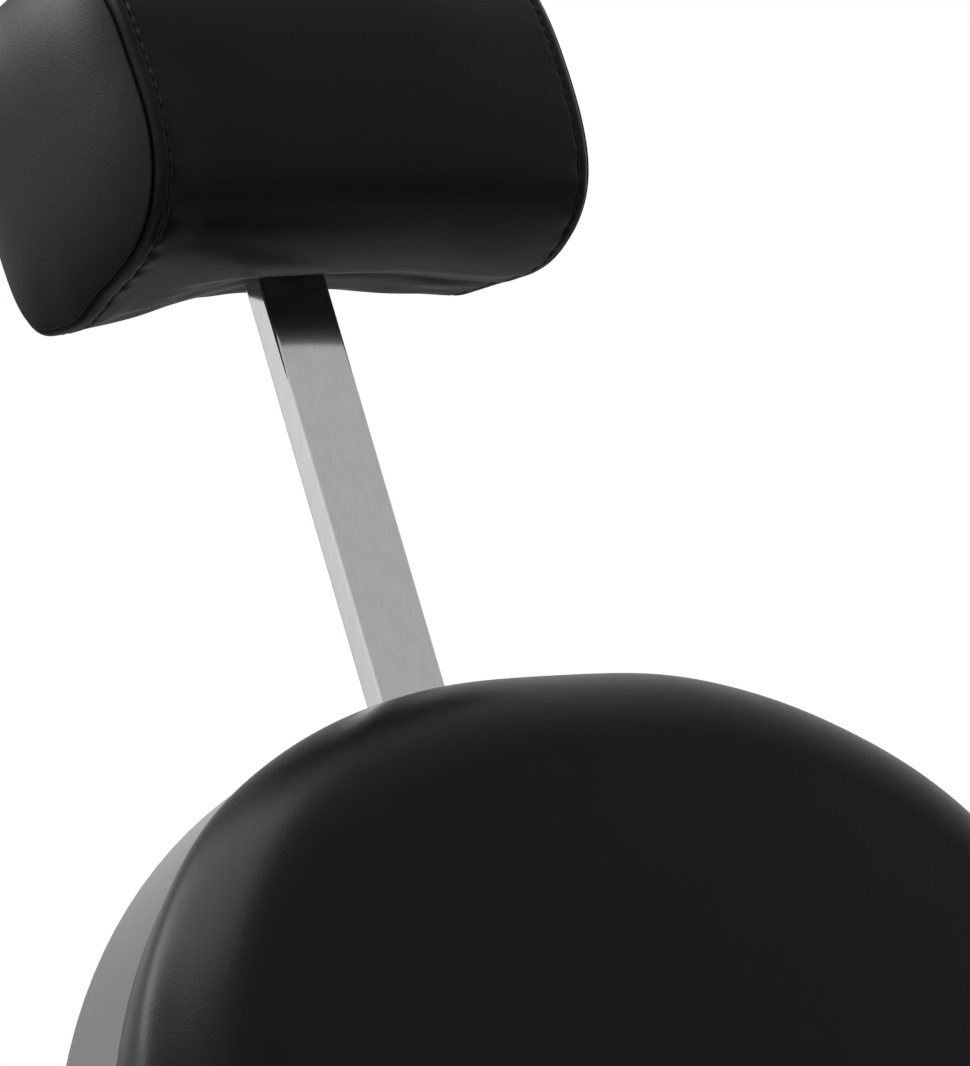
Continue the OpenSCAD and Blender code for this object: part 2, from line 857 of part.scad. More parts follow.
module arm_bolts() {
    color(silver) for (s = side_signs) {
        for (y = crossbar_ys) translate([s * arm_x, y, rail_top - bolt_head_h])
            hex_bolt(crossbar_t + arm_t - tip_gap);
        for (y = [-arm_pad_screw_y, arm_pad_screw_y])
            translate([s * arm_x, arm_cy + y, arm_top - arm_t - screw_head_h])
                pan_screw(arm_t + arm_pad_base_t - 2 * tip_gap);
    }
}

// Gas spring

module gas_tube() {
    front = gas_front_y;
    rear = gas_front_y + gas_len;
    color(black) translate([gas_x, 0, gas_z]) difference() {
        union() {
            bar_y(front, rear, gas_r);
            bar_y(front - gas_stud_len, front, gas_rod_r);
            bar_y(front - gas_mount_t - gas_nut_t, front - gas_mount_t, gas_nut_r);
        }
        bar_y(front + gas_cap_t, rear - gas_cap_t, gas_r - gas_wall);
        bar_y(rear - gas_cap_t - over, rear + over, gas_rod_r + run_fit);
    }
}

module gas_mount() {
    near = gas_x + gas_nut_r + gas_wall;
    far = -(rail_x - rail_w / 2);
    color(dark_steel) difference() {
        translate([far, gas_front_y - gas_mount_t, gas_z - gas_mount_h / 2])
            cube([near - far, gas_mount_t, gas_mount_h]);
        translate([gas_x, 0, gas_z]) bar_y(gas_front_y - gas_mount_t - over, gas_front_y + over,
            gas_rod_r + run_fit);
    }
}

// The rod's slotted eye lets the lever's pin rise and fall while the rod runs straight
module gas_rod() {
    rear = gas_front_y + gas_len;
    piston_y = rear - gas_cap_t - gas_rod_inside;
    color(polished) translate([gas_x, 0, gas_z]) {
        bar_y(piston_y, gas_pin_y - gas_eye_w / 2 + over, gas_rod_r);
        bar_y(piston_y, piston_y + gas_piston_t, gas_r - gas_wall - run_fit);
        difference() {
            translate([-gas_eye_t / 2, gas_pin_y - gas_eye_w / 2, -gas_eye_h / 2])
                cube([gas_eye_t, gas_eye_w, gas_eye_h]);
            translate([-gas_eye_t, gas_pin_y - gas_pin_r - loose_fit, -gas_slot_reach])
                cube([2 * gas_eye_t, 2 * (gas_pin_r + loose_fit), 2 * gas_slot_reach]);
            for (s = side_signs) translate([0, gas_pin_y, s * gas_slot_reach])
                bar_x(-gas_eye_t, gas_eye_t, gas_pin_r + loose_fit);
        }
    }
}

// Back

module back_band() {
    color(silver) on_back_disc() difference() {
        cylinder(r = back_r, h = back_band_h, $fn = 128);
        translate([0, 0, -over]) cylinder(r = back_r - band_wall, h = back_band_h + 2 * over, $fn = 128);
    }
}

// Screw places on the disc, from its middle
function back_screw_places() = concat(
    [for (s = side_signs) for (z = back_screw_zs)
        [s * (arm_plate_x - (arm_flange_w - arm_plate_t) / 2), z - back_cz]],
    [for (s = side_signs) for (z = [guide_low + guide_screw_inset, guide_high - guide_screw_inset])
        [s * (post_w / 2 + guide_wall + guide_wing / 2), z - back_cz]]
);

module back_panel() {
    color(black) on_back_disc() difference() {
        cylinder(r = back_r - band_wall, h = back_panel_t, $fn = 128);
        for (p = back_screw_places()) translate([p.x, p.y, -over])
            cylinder(r = screw_r + run_fit, h = back_panel_t + 2 * over);
    }
}

module back_board() {
    color(ply) on_back_disc() translate([0, 0, back_panel_t]) difference() {
        cylinder(r = back_r - band_wall, h = back_board_t, $fn = 128);
        for (p = back_screw_places()) translate([p.x, p.y, -over])
            cylinder(r = screw_r + run_fit, h = screw_bite);
    }
}

module back_screws() {
    color(silver) {
        for (k = [0 : len(back_screw_places()) - 1]) {
            stack = k < 2 * len(back_screw_zs) ? arm_flange_t : guide_wing_t;
            p = back_screw_places()[k];
            on_back_disc() translate([p.x, p.y, -stack - screw_head_h])
                pan_screw(stack + back_panel_t + screw_bite - 2 * tip_gap);
        }
    }
}

// Back cushion: round in its band, then a little lower than it is wide and squarer at its corners
back_bulge = 3.5;
back_edge = 33;
back_dome = 17;
back_drop = 10;
back_drop_start_share = 0.3;
back_ramp_share = 2.3;
back_side_steps = 7;
back_dome_steps = 6;

function back_outline(inset, drop, power) =
    outline(back_r, back_r - drop, back_r - drop, power, power, inset, back_points);

module back_cushion() {
    start = back_panel_t + back_board_t + soft_gap;
    in_band = back_band_h - start;
    crown = in_band + back_crown;
    levels = pad_levels(in_band, back_bulge, back_edge, crown, back_dome, back_side_steps, back_dome_steps);
    color(black) on_back_disc() translate([0, 0, start]) loft(
        [for (l = levels)
            let (rise_share = max(0, l[2] - in_band) / (crown - back_dome - in_band))
            let (turn_share = min(1, rise_share * back_ramp_share))
            let (drop_share = back_drop_start_share + (1 - back_drop_start_share) * turn_share)
            let (drop = l[2] > in_band ? back_drop * drop_share : 0)
            level(back_outline(l[0], drop, 2 + (back_power - 2) * turn_share), l[1], l[2])],
        [0, 0, 0],
        [0, 0, crown]
    );
}

function lever_end(length, turn) = [length * sin(turn), -length * cos(turn)];

module back_arms() {
    link_at = lever_end(link_arm, back_lever_turn);
    strip_y = back_rear_y + arm_strip_w / 2;
    color(dark_steel) in_back() both_sides() difference() {
        union() {
            side_plate(arm_plate_x, arm_plate_t) {
                circle(arm_boss_r);
                strip([0, 0], link_at, 2 * link_boss_r);
                translate(link_at) circle(link_boss_r);
                strip([0, 0], [strip_y, arm_strip_low], arm_strip_w);
                translate([strip_y, arm_strip_low]) circle(arm_strip_w / 2);
                strip([strip_y, arm_strip_low], [strip_y, arm_strip_high], arm_strip_w);
            }
            translate([arm_plate_x - arm_flange_w + arm_plate_t, back_rear_y, arm_strip_low])
                cube([arm_flange_w, arm_flange_t, arm_strip_high - arm_strip_low]);
            translate([0, link_at.x, link_at.y])
                bar_x(arm_plate_x, link_x + link_bar_t + link_pin_end, link_pin_r);
        }
        bar_x(0, link_x, shaft_r + run_fit);
        for (z = back_screw_zs)
            translate([arm_plate_x - (arm_flange_w - arm_plate_t) / 2, back_rear_y - over, z])
                bar_y(0, arm_flange_t + 2 * over, screw_r + run_fit);
    }
}

module recline_shaft() {
    color(polished) translate([0, back_hinge_y, back_hinge_z]) {
        bar_x(-link_x, link_x, shaft_r);
        both_sides() bar_x(link_x, link_x + shaft_collar_t, shaft_collar_r);
    }
}

// Two cheeks on the shaft with a cross pin for the gas spring's eye
module recline_lever() {
    pin_at = lever_end(gas_arm, back_lever_turn);
    inner = gas_eye_t / 2 + gas_lever_gap;
    color(dark_steel) in_back() translate([gas_x, 0, 0]) {
        difference() {
            both_sides() side_plate(inner, gas_lever_t) {
                circle(gas_boss_r);
                translate(pin_at) circle(gas_lever_r);
                strip([0, 0], pin_at, 2 * gas_lever_r);
            }
            bar_x(-inner - gas_lever_t - over, inner + gas_lever_t + over, shaft_r + run_fit);
        }
        translate([0, pin_at.x, pin_at.y]) bar_x(-inner - gas_lever_t, inner + gas_lever_t, gas_pin_r);
    }
}

// Headrest guide, bar and bolster

module headrest_guide() {
    slot_w = post_w + 2 * slide_fit;
    slot_t = post_t + 2 * slide_fit;
    block_w = post_w + 2 * guide_wall;
    block_d = post_y + post_t / 2 + guide_wall - back_rear_y;
    length = guide_high - guide_low;
    color(dark_steel) in_back() difference() {
        union() {
            translate([-block_w / 2, back_rear_y, guide_low]) cube([block_w, block_d, length]);
            translate([-block_w / 2 - guide_wing, back_rear_y, guide_low + guide_wing_inset])
                cube([block_w + 2 * guide_wing, guide_wing_t, length - 2 * guide_wing_inset]);
        }
        translate([-slot_w / 2, post_y - slot_t / 2, guide_low - over])
            cube([slot_w, slot_t, length + 2 * over]);
        translate([-guide_window_w / 2, post_y, (guide_low + guide_high - guide_window_h) / 2])
            cube([guide_window_w, block_d, guide_window_h]);
        for (s = side_signs) for (z = [guide_low + guide_screw_inset, guide_high - guide_screw_inset])
            translate([s * (block_w / 2 + guide_wing / 2), back_rear_y - over, z])
                bar_y(0, guide_wing_t + 2 * over, screw_r + run_fit);
    }
}

// Nylon pad that rubs on the bar through the guide's window
module friction_pad() {
    w = guide_window_w - 2 * loose_fit;
    h = guide_window_h - 2 * loose_fit;
    color("ivory") in_back()
        translate([-w / 2, post_y + post_t / 2 + run_fit, (guide_low + guide_high - h) / 2])
            cube([w, guide_wall - run_fit, h]);
}

module pad_cover() {
    w = guide_window_w + 2 * pad_cover_lap;
    h = guide_window_h + 2 * pad_cover_lap;
    color(silver) in_back()
        translate([-w / 2, post_y + post_t / 2 + guide_wall, (guide_low + guide_high - h) / 2])
            cube([w, pad_cover_t, h]);
}

module headrest_post() {
    top = head_low + post_in_head;
    color(polished) in_back() difference() {
        translate([-post_w / 2, post_y - post_t / 2, post_low]) cube([post_w, post_t, top - post_low]);
        for (z = head_bolt_rises) translate([0, post_y, head_low + z])
            bar_y(-post_t, post_t, head_bolt_r + run_fit);
    }
}

module post_stop() {
    w = post_w + 2 * stop_lap;
    t = post_t + stop_lap;
    color(silver) in_back() translate([-w / 2, post_y - post_t / 2, post_low - stop_t]) cube([w, t, stop_t]);
}

core_y = post_y - post_t / 2 - core_t;

module headrest_core() {
    color(ply) in_back() difference() {
        translate([-core_w / 2, core_y, head_low + core_rise]) cube([core_w, core_t, core_h]);
        for (z = head_bolt_rises) translate([0, core_y - over, head_low + z])
            bar_y(0, core_t + 2 * over, head_bolt_r + run_fit);
    }
}

module headrest_bolts() {
    color(silver) in_back() for (z = head_bolt_rises) translate([0, 0, head_low + z]) {
        bar_y(core_y, post_y + post_t / 2 + over, head_bolt_r);
        bar_y(post_y + post_t / 2, post_y + post_t / 2 + head_bolt_head_h, head_bolt_head_r);
    }
}

// The bolster's section: rounder in front, flatter behind. Distances are from its own middle
function head_section(grow) =
    [for (i = [0 : head_points - 1])
        let (c = cos(360 * i / head_points), s = sin(360 * i / head_points))
        let (power = c >= 0 ? head_power_rear : head_power_front)
        [(head_d / 2 + grow) * power_of(c, 2 / power), (head_h / 2 + grow) * power_of(s, 2 / power)]];

// Places along the bolster: distance from the middle as a share of its half width, and its growth
head_station_shares = [-1, -0.985, -0.93, -0.82, -0.6, -0.3, 0, 0.3, 0.6, 0.82, 0.93, 0.985, 1];
function head_growth(share) =
    abs(share) > 0.99 ? -head_seam_inset : head_crown * (1 - pow(abs(share), 4));
head_end_shares = [0.45, 0.85];

// The cover is drawn up round the bar: place along the bolster against the share of the pinch
head_pinch_shares = [
    [-1, 0], [-0.72, 0], [-0.58, 0.25], [-0.45, 0.6], [-0.28, 0.9], [0, 1], [0.4, 0.95], [0.6, 0.82],
    [0.75, 0.7], [1, 0.65]
];
head_low_share = 0.3;
head_low_span_share = 0.6;
head_rear_share = 0.4;
function eased(value) = let (t = min(1, max(0, value))) t * t * (3 - 2 * t);
function head_lift(p, share) = head_pinch * lookup(share, head_pinch_shares)
    * eased((-p.y / (head_h / 2) - head_low_share) / head_low_span_share)
    * eased(p.x / (head_d / 2) + head_rear_share);

module headrest_cushion() {
    cy = post_y - head_front + head_d / 2;
    cz = head_low + head_h / 2;
    half = head_w / 2;
    function ring(x, grow, share) = [for (p = head_section(grow))
        [x, p.x * share, (p.y + head_lift(p, max(-1, min(1, x / half)))) * share]];
    ends = [for (share = head_end_shares)
        ring(-half - head_puff * (1 - share * share), -head_seam_inset, share)];
    starts = [for (k = [len(head_end_shares) - 1 : -1 : 0])
        let (share = head_end_shares[k])
        ring(half + head_puff * (1 - share * share), -head_seam_inset, share)];
    body = [for (share = head_station_shares) ring(share * half, head_growth(share), 1)];
    color(black) in_back() difference() {
        translate([0, cy, cz]) loft(
            concat(ends, body, starts),
            [-half - head_puff, 0, 0],
            [half + head_puff, 0, 0]
        );
        translate([-post_w / 2 - head_slot_gap, post_y - post_t / 2 - head_slot_gap, head_low - head_h])
            cube([post_w + 2 * head_slot_gap, post_t + head_bolt_head_h + 2 * head_slot_gap,
                head_h + post_in_head + head_slot_gap]);
        translate([-core_w / 2 - soft_gap, core_y - soft_gap, head_low + core_rise - soft_gap])
            cube([core_w + 2 * soft_gap, core_t + 2 * soft_gap, core_h + 2 * soft_gap]);
    }
}

// Legrest

foot_at = [foot_hinge_y, foot_hinge_z];

module legrest_arms() {
    link_at = lever_end(link_arm, leg_lever_turn);
    strip_y = -legrest_board_y + legrest_strip_w / 2;
    color(polished) in_legrest() both_sides() difference() {
        union() {
            side_plate(arm_plate_x, arm_plate_t) {
                circle(legrest_boss_r);
                strip([0, 0], link_at, 2 * link_boss_r);
                translate(link_at) circle(link_boss_r);
                strip([strip_y, 0], [strip_y, foot_hinge_z], legrest_strip_w);
                translate([strip_y, foot_hinge_z]) circle(legrest_strip_w / 2);
                strip([strip_y, foot_hinge_z], foot_at, foot_strip_h);
                translate(foot_at) circle(foot_strip_h / 2);
            }
            translate([0, link_at.x, link_at.y])
                bar_x(arm_plate_x, link_x + link_bar_t + link_pin_end, link_pin_r);
        }
        bar_x(0, link_x, legrest_pin_r + run_fit);
        translate([0, foot_at.x, foot_at.y]) bar_x(0, link_x, foot_pin_r + run_fit);
    }
}

module legrest_pins() {
    color(polished) translate([0, leg_hinge_y, leg_hinge_z]) both_sides() {
        bar_x(bracket_x, link_x, legrest_pin_r);
        bar_x(link_x, link_x + shaft_collar_t, shaft_collar_r);
    }
}

module on_legrest(y) {
    in_legrest() translate([0, -y, legrest_cz]) rotate([90, 0, 0]) children();
}

module legrest_board() {
    color(painted) on_legrest(legrest_board_y) linear_extrude(legrest_board_t)
        polygon(legrest_outline(band_wall));
}

module legrest_band() {
    color(silver) on_legrest(legrest_board_y) linear_extrude(legrest_band_h) difference() {
        polygon(legrest_outline(0));
        polygon(legrest_outline(band_wall));
    }
}

// Legrest cushion
legrest_bulge = 3;
legrest_edge = 20;
legrest_dome = 8;
legrest_side_steps = 5;
legrest_dome_steps = 3;

module legrest_cushion() {
    start = legrest_board_y + legrest_board_t + soft_gap;
    in_band = legrest_board_y + legrest_band_h - start;
    crown = in_band + legrest_crown;
    levels = pad_levels(in_band, legrest_bulge, legrest_edge, crown, legrest_dome, legrest_side_steps,
        legrest_dome_steps);
    color(black) on_legrest(start) loft(
        [for (l = levels) level(legrest_outline(l[0]), l[1], l[2])],
        [0, 0, 0],
        [0, 0, crown]
    );
}

// Leg linkage: a bar on each side keeps the legrest turning with the back
module link_bars() {
    start = lever_end(link_arm, half_recline);
    color(dark_steel) both_sides()
        translate([0, leg_hinge_y + start.x, leg_hinge_z + start.y]) rotate([link_turn, 0, 0]) difference() {
            side_plate(link_x, link_bar_t) {
                strip([0, 0], [link_len, 0], link_bar_h);
                circle(link_boss_r);
                translate([link_len, 0]) circle(link_boss_r);
            }
            bar_x(0, 2 * link_x, link_pin_r + link_fit);
            translate([0, link_len, 0]) bar_x(0, 2 * link_x, link_pin_r + run_fit);
        }
}

// Footrest, level at rest

module at_foot_hinge() {
    in_legrest() translate([0, foot_at.x, foot_at.y]) rotate([legrest_tilt, 0, 0]) children();
}

module footrest_plate() {
    half = footplate_w / 2;
    color(polished) at_foot_hinge() difference() {
        union() {
            translate([0, -footplate_d / 2, -footplate_t]) {
                linear_extrude(footplate_t) rounded_rect(footplate_w, footplate_d, footplate_corner);
                linear_extrude(footplate_lip) difference() {
                    rounded_rect(footplate_w, footplate_d, footplate_corner);
                    rounded_rect(footplate_w - 2 * footplate_t, footplate_d - 2 * footplate_t,
                        footplate_corner - footplate_t);
                }
            }
            both_sides() bar_x(half - foot_lug_t, half, foot_lug_r);
            both_sides() translate([half - foot_lug_t, -footplate_corner - foot_lug_r, -footplate_t])
                cube([foot_lug_t, footplate_corner + foot_lug_r, footplate_lip]);
        }
        bar_x(-footplate_w, footplate_w, foot_pin_r + run_fit);
    }
}

module footrest_treads() {
    span = footplate_d - 2 * tread_inset - tread_w;
    length = footplate_w - 2 * (foot_lug_t + tread_inset);
    color(black) at_foot_hinge() for (k = [0 : tread_count - 1])
        translate([0, -tread_inset - tread_w / 2 - k * span / (tread_count - 1), 0]) linear_extrude(tread_t)
            rounded_rect(length, tread_w, tread_corner);
}

module footrest_pins() {
    color(silver) at_foot_hinge() both_sides()
        bar_x(footplate_w / 2 - foot_lug_t, link_x, foot_pin_r);
}

// Release handle of the gas spring, on the sitter's right

module release_handle() {
    inner = gas_x + gas_eye_t;
    arm_end = [release_arm_len, release_rise];
    color(polished) translate([0, release_y, release_z]) {
        bar_x(-release_x_out, inner, release_r);
        side_plate(-release_x_out, release_arm_t) {
            circle(release_arm_h / 2 + over);
            strip([0, 0], arm_end, release_arm_h);
        }
        side_plate(gas_x - gas_eye_t / 2, gas_eye_t) {
            circle(release_cam_r);
            strip([0, 0], [release_nose, 0], release_cam_r);
        }
    }
}

module release_grip() {
    turn = atan2(release_rise, release_arm_len);
    length = norm([release_arm_len, release_rise]);
    color(black) translate([-release_x_out + release_arm_t / 2, release_y, release_z]) rotate([turn, 0, 0])
        difference() {
            union() {
                bar_y(length - release_grip_len / 2, length + release_grip_len / 2, release_grip_r);
                translate([0, length + release_grip_len / 2, 0]) sphere(release_grip_r);
            }
            translate([-release_arm_t / 2, 0, -release_arm_h / 2])
                cube([release_arm_t, length, release_arm_h]);
        }
}

module release_bush() {
    color(black) translate([0, release_y, release_z]) difference() {
        bar_x(-bracket_x - release_bush_t, -bracket_x, release_bush_r);
        bar_x(-bracket_x - release_bush_t - over, -bracket_x + over, release_r + run_fit);
    }
}

floor_pad();
base_plate();
base_cover();
pump_body();
pump_bolts();
pump_gland();
column_shroud();
pedal_bracket();
pump_pedal();
pedal_pad();
lift_ram();
swivel_washer();
swivel_hub();
hub_bolts();
seat_rails();
seat_crossbars();
recline_brackets();
legrest_brackets();
seat_board();
seat_screws();
seat_band();
seat_cushion();
arm_frame_right();
arm_frame_left();
arm_pad_base_right();
arm_pad_base_left();
arm_pad_right();
arm_pad_left();
arm_bolts();
gas_tube();
gas_mount();
gas_rod();
back_board();
back_panel();
back_band();
back_cushion();
back_arms();
back_screws();
recline_shaft();
recline_lever();
headrest_guide();
friction_pad();
pad_cover();
headrest_post();
post_stop();
headrest_core();
headrest_bolts();
headrest_cushion();
legrest_arms();
legrest_board();
legrest_band();
legrest_cushion();
legrest_pins();
link_bars();
footrest_plate();
footrest_treads();
footrest_pins();
release_handle();
release_grip();
release_bush();
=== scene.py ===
import json
import math

import bmesh
import bpy
from mathutils import Matrix, Vector, noise


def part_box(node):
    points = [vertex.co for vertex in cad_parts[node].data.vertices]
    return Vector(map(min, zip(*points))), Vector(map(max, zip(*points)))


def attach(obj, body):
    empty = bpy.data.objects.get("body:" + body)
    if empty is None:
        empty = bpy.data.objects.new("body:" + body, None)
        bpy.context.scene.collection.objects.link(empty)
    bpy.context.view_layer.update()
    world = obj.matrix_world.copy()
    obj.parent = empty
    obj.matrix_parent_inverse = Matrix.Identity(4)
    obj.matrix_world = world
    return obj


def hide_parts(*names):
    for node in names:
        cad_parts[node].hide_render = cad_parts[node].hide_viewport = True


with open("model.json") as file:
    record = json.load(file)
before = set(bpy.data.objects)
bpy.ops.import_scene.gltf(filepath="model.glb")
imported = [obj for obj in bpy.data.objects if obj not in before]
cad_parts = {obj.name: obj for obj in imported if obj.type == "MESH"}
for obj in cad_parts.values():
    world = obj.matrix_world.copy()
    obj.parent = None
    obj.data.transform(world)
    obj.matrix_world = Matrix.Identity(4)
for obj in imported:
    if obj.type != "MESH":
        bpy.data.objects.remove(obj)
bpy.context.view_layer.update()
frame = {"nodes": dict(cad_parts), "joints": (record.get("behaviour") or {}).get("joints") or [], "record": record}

scene = bpy.context.scene
record = frame["record"]
joints = {joint["name"]: joint for joint in frame["joints"]}

MM = 0.001
TAU = 2 * math.pi

# The back's own frame: its hinge at the origin, Z along the back, -Y to its front
hinge = Vector(joints["recline"]["pos_m"])
up_back = Vector(joints["headrest_height"]["axis"]).normalized()
BACK = Matrix.Translation(hinge) @ Matrix((
    (1, 0, 0, 0), (0, up_back.z, up_back.y, 0), (0, -up_back.y, up_back.z, 0), (0, 0, 0, 1)))

# The legrest's own frame, tilted forward at its lower end
LEG_TILT = math.radians(10)
LEG = Matrix.Translation(Vector(joints["legrest_swing"]["pos_m"])) @ Matrix.Rotation(-LEG_TILT, 4, "X")


def local_box(node, matrix):
    """Lowest and highest corners of a CAD node in one of the leaning frames."""
    inverse = matrix.inverted()
    points = [inverse @ v.co for v in frame["nodes"][node].data.vertices]
    return (Vector([min(p[i] for p in points) for i in range(3)]),
            Vector([max(p[i] for p in points) for i in range(3)]))


# Geometry helpers

def eased(value):
    t = max(0.0, min(1.0, value))
    return t * t * (3 - 2 * t)


def between(value, start, stop):
    """Rises smoothly from 0 at start to 1 at stop."""
    return eased((value - start) / (stop - start))


def hump(value, middle, width):
    return math.exp(-((value - middle) / width) ** 2)


def signed_power(value, power):
    return math.copysign(abs(value) ** power, value)


def oval(half_w, far, near, far_power, near_power, count):
    """A closed outline with its own reach and squareness on the + and - sides of its second axis."""
    points = []
    for i in range(count):
        c, s = math.cos(TAU * i / count), math.sin(TAU * i / count)
        power, reach = (far_power, far) if s >= 0 else (near_power, near)
        points.append((half_w * signed_power(c, 2 / power), reach * signed_power(s, 2 / power)))
    return points


def add_object(name, bm, material):
    """Turns a finished bmesh into a smooth object of the scene."""
    mesh = bpy.data.meshes.new(name)
    bm.to_mesh(mesh)
    bm.free()
    mesh.polygons.foreach_set("use_smooth", [True] * len(mesh.polygons))
    mesh.materials.append(material)
    obj = bpy.data.objects.new(name, mesh)
    scene.collection.objects.link(obj)
    return obj


def loft(name, rings, first, last, material, matrix=Matrix.Identity(4)):
    """Skins rings of points, closed at each end by a fan to one point, and subdivides the skin once."""
    count = len(rings[0])
    points = [p for ring in rings for p in ring] + [first, last]
    faces = []
    for k in range(len(rings) - 1):
        for i in range(count):
            j = (i + 1) % count
            faces.append((k * count + i, k * count + j, (k + 1) * count + j, (k + 1) * count + i))
    end = (len(rings) - 1) * count
    for i in range(count):
        j = (i + 1) % count
        faces.append((j, i, len(points) - 2))
        faces.append((end + i, end + j, len(points) - 1))
    bm = bmesh.new()
    verts = [bm.verts.new(matrix @ Vector(p)) for p in points]
    for face in faces:
        bm.faces.new([verts[i] for i in face])
    bmesh.ops.recalc_face_normals(bm, faces=bm.faces)
    obj = add_object(name, bm, material)
    smooth = obj.modifiers.new("smooth", "SUBSURF")
    smooth.levels = smooth.render_levels = 1
    return obj


def stitches(name, path, step, radius, material):
    """Thread along a closed path: one stitch from each hole to the next, with a hole at each step."""
    bm = bmesh.new()
    sides = 6
    from_hole = 0.35
    end_share = 0.6
    aside = Vector((0.2, 0.1, 0.97))
    for n in range(0, len(path), step):
        hole, after = path[n], path[(n + step) % len(path)]
        spine = [hole.lerp(path[n + 1], from_hole)] + path[n + 1:n + step]
        spine.append(after.lerp(path[n + step - 1], from_hole))
        along = (spine[-1] - spine[0]).normalized()
        side = along.cross(aside).normalized()
        other = along.cross(side)
        rings = []
        for p in spine:
            r = radius * (end_share if p in (spine[0], spine[-1]) else 1)
            turns = [TAU * k / sides for k in range(sides)]
            rings.append([bm.verts.new(p + r * (math.cos(t) * side + math.sin(t) * other)) for t in turns])
        for a, b in zip(rings, rings[1:]):
            for k in range(sides):
                bm.faces.new((a[k], a[(k + 1) % sides], b[(k + 1) % sides], b[k]))
        bm.faces.new(rings[0])
        bm.faces.new(list(reversed(rings[-1])))
    bmesh.ops.recalc_face_normals(bm, faces=bm.faces)
    return add_object(name, bm, material)


# Materials

def new_material(name):
    material = bpy.data.materials.new(name)
    material.use_nodes = True
    shader = material.node_tree.nodes["Principled BSDF"]
    return material, material.node_tree, shader


def link(tree, source, target):
    tree.links.new(source, target)


def object_coords(tree, scale=(1, 1, 1)):
    coords = tree.nodes.new("ShaderNodeTexCoord")
    mapping = tree.nodes.new("ShaderNodeMapping")
    mapping.inputs["Scale"].default_value = scale
    link(tree, coords.outputs["Object"], mapping.inputs["Vector"])
    return mapping.outputs["Vector"]


def noise_value(tree, vector, scale, detail=4, roughness=0.5):
    node = tree.nodes.new("ShaderNodeTexNoise")
    node.inputs["Scale"].default_value = scale
    node.inputs["Detail"].default_value = detail
    node.inputs["Roughness"].default_value = roughness
    link(tree, vector, node.inputs["Vector"])
    return node.outputs["Fac"]


def ramp(tree, value, low, high, start=0.3, stop=0.7):
    """Turns a 0 to 1 value into a colour between low and high."""
    node = tree.nodes.new("ShaderNodeValToRGB")
    node.color_ramp.elements[0].position = start
    node.color_ramp.elements[1].position = stop
    node.color_ramp.elements[0].color = (*low, 1)
    node.color_ramp.elements[1].color = (*high, 1)
    link(tree, value, node.inputs["Fac"])
    return node.outputs["Color"]


def spread(tree, value, low, high):
    node = tree.nodes.new("ShaderNodeMapRange")
    node.inputs["To Min"].default_value = low
    node.inputs["To Max"].default_value = high
    link(tree, value, node.inputs["Value"])
    return node.outputs["Result"]


def bump(tree, shader, height, strength, distance):
    node = tree.nodes.new("ShaderNodeBump")
    node.inputs["Strength"].default_value = strength
    node.inputs["Distance"].default_value = distance
    link(tree, height, node.inputs["Height"])
    link(tree, node.outputs["Normal"], shader.inputs["Normal"])


def grey(level, tint=(1, 1, 1)):
    return tuple(level * t for t in tint)


def leatherette(name, level, roughness, specular):
    """Smooth coated cloth: a fine pebble, with the gloss broken up at the scale of a hand."""
    material, tree, shader = new_material(name)
    vector = object_coords(tree)
    mottle = noise_value(tree, vector, 14, 3)
    link(tree, ramp(tree, mottle, grey(level * 0.8), grey(level * 1.25)), shader.inputs["Base Color"])
    link(tree, spread(tree, noise_value(tree, vector, 60, 4), roughness - 0.05, roughness + 0.05),
         shader.inputs["Roughness"])
    cells = tree.nodes.new("ShaderNodeTexVoronoi")
    cells.inputs["Scale"].default_value = 1100
    cells.feature = "SMOOTH_F1"
    link(tree, vector, cells.inputs["Vector"])
    grain = tree.nodes.new("ShaderNodeMath")
    grain.operation = "ADD"
    link(tree, cells.outputs["Distance"], grain.inputs[0])
    link(tree, noise_value(tree, vector, 380, 5, 0.6), grain.inputs[1])
    bump(tree, shader, grain.outputs["Value"], 0.12, 0.0004)
    shader.inputs["Specular IOR Level"].default_value = specular
    return material


def metal(name, colour, roughness, smear=(1, 1, 1), wear=0.05, tint_wear=0.9, scale=90):
    """Bare metal with faint marks drawn out along one axis."""
    material, tree, shader = new_material(name)
    vector = object_coords(tree, smear)
    marks = noise_value(tree, vector, scale, 6, 0.65)
    link(tree, ramp(tree, marks, grey(tint_wear, colour), colour, 0.35, 0.6), shader.inputs["Base Color"])
    link(tree, spread(tree, marks, roughness + wear, max(0.02, roughness - wear)),
         shader.inputs["Roughness"])
    bump(tree, shader, marks, 0.04, 0.0003)
    shader.inputs["Metallic"].default_value = 1
    return material


def paint(name, colour, roughness, peel=220, strength=0.08):
    """Sprayed or moulded surface with an orange-peel or fine grain texture."""
    material, tree, shader = new_material(name)
    vector = object_coords(tree)
    patch = noise_value(tree, vector, 18, 3)
    link(tree, ramp(tree, patch, grey(0.85, colour), grey(1.1, colour)), shader.inputs["Base Color"])
    link(tree, spread(tree, patch, roughness - 0.04, roughness + 0.06), shader.inputs["Roughness"])
    bump(tree, shader, noise_value(tree, vector, peel, 3), strength, 0.0004)
    shader.inputs["Specular IOR Level"].default_value = 0.4
    return material


def plywood(name):
    material, tree, shader = new_material(name)
    vector = object_coords(tree, (3, 40, 40))
    grain = noise_value(tree, vector, 12, 6, 0.6)
    link(tree, ramp(tree, grain, (0.36, 0.22, 0.11), (0.62, 0.44, 0.26)), shader.inputs["Base Color"])
    shader.inputs["Roughness"].default_value = 0.65
    bump(tree, shader, grain, 0.2, 0.0006)
    return material


STEEL = (0.66, 0.645, 0.64)
CHROME = (0.74, 0.74, 0.75)
SILVER = (0.2, 0.198, 0.196)

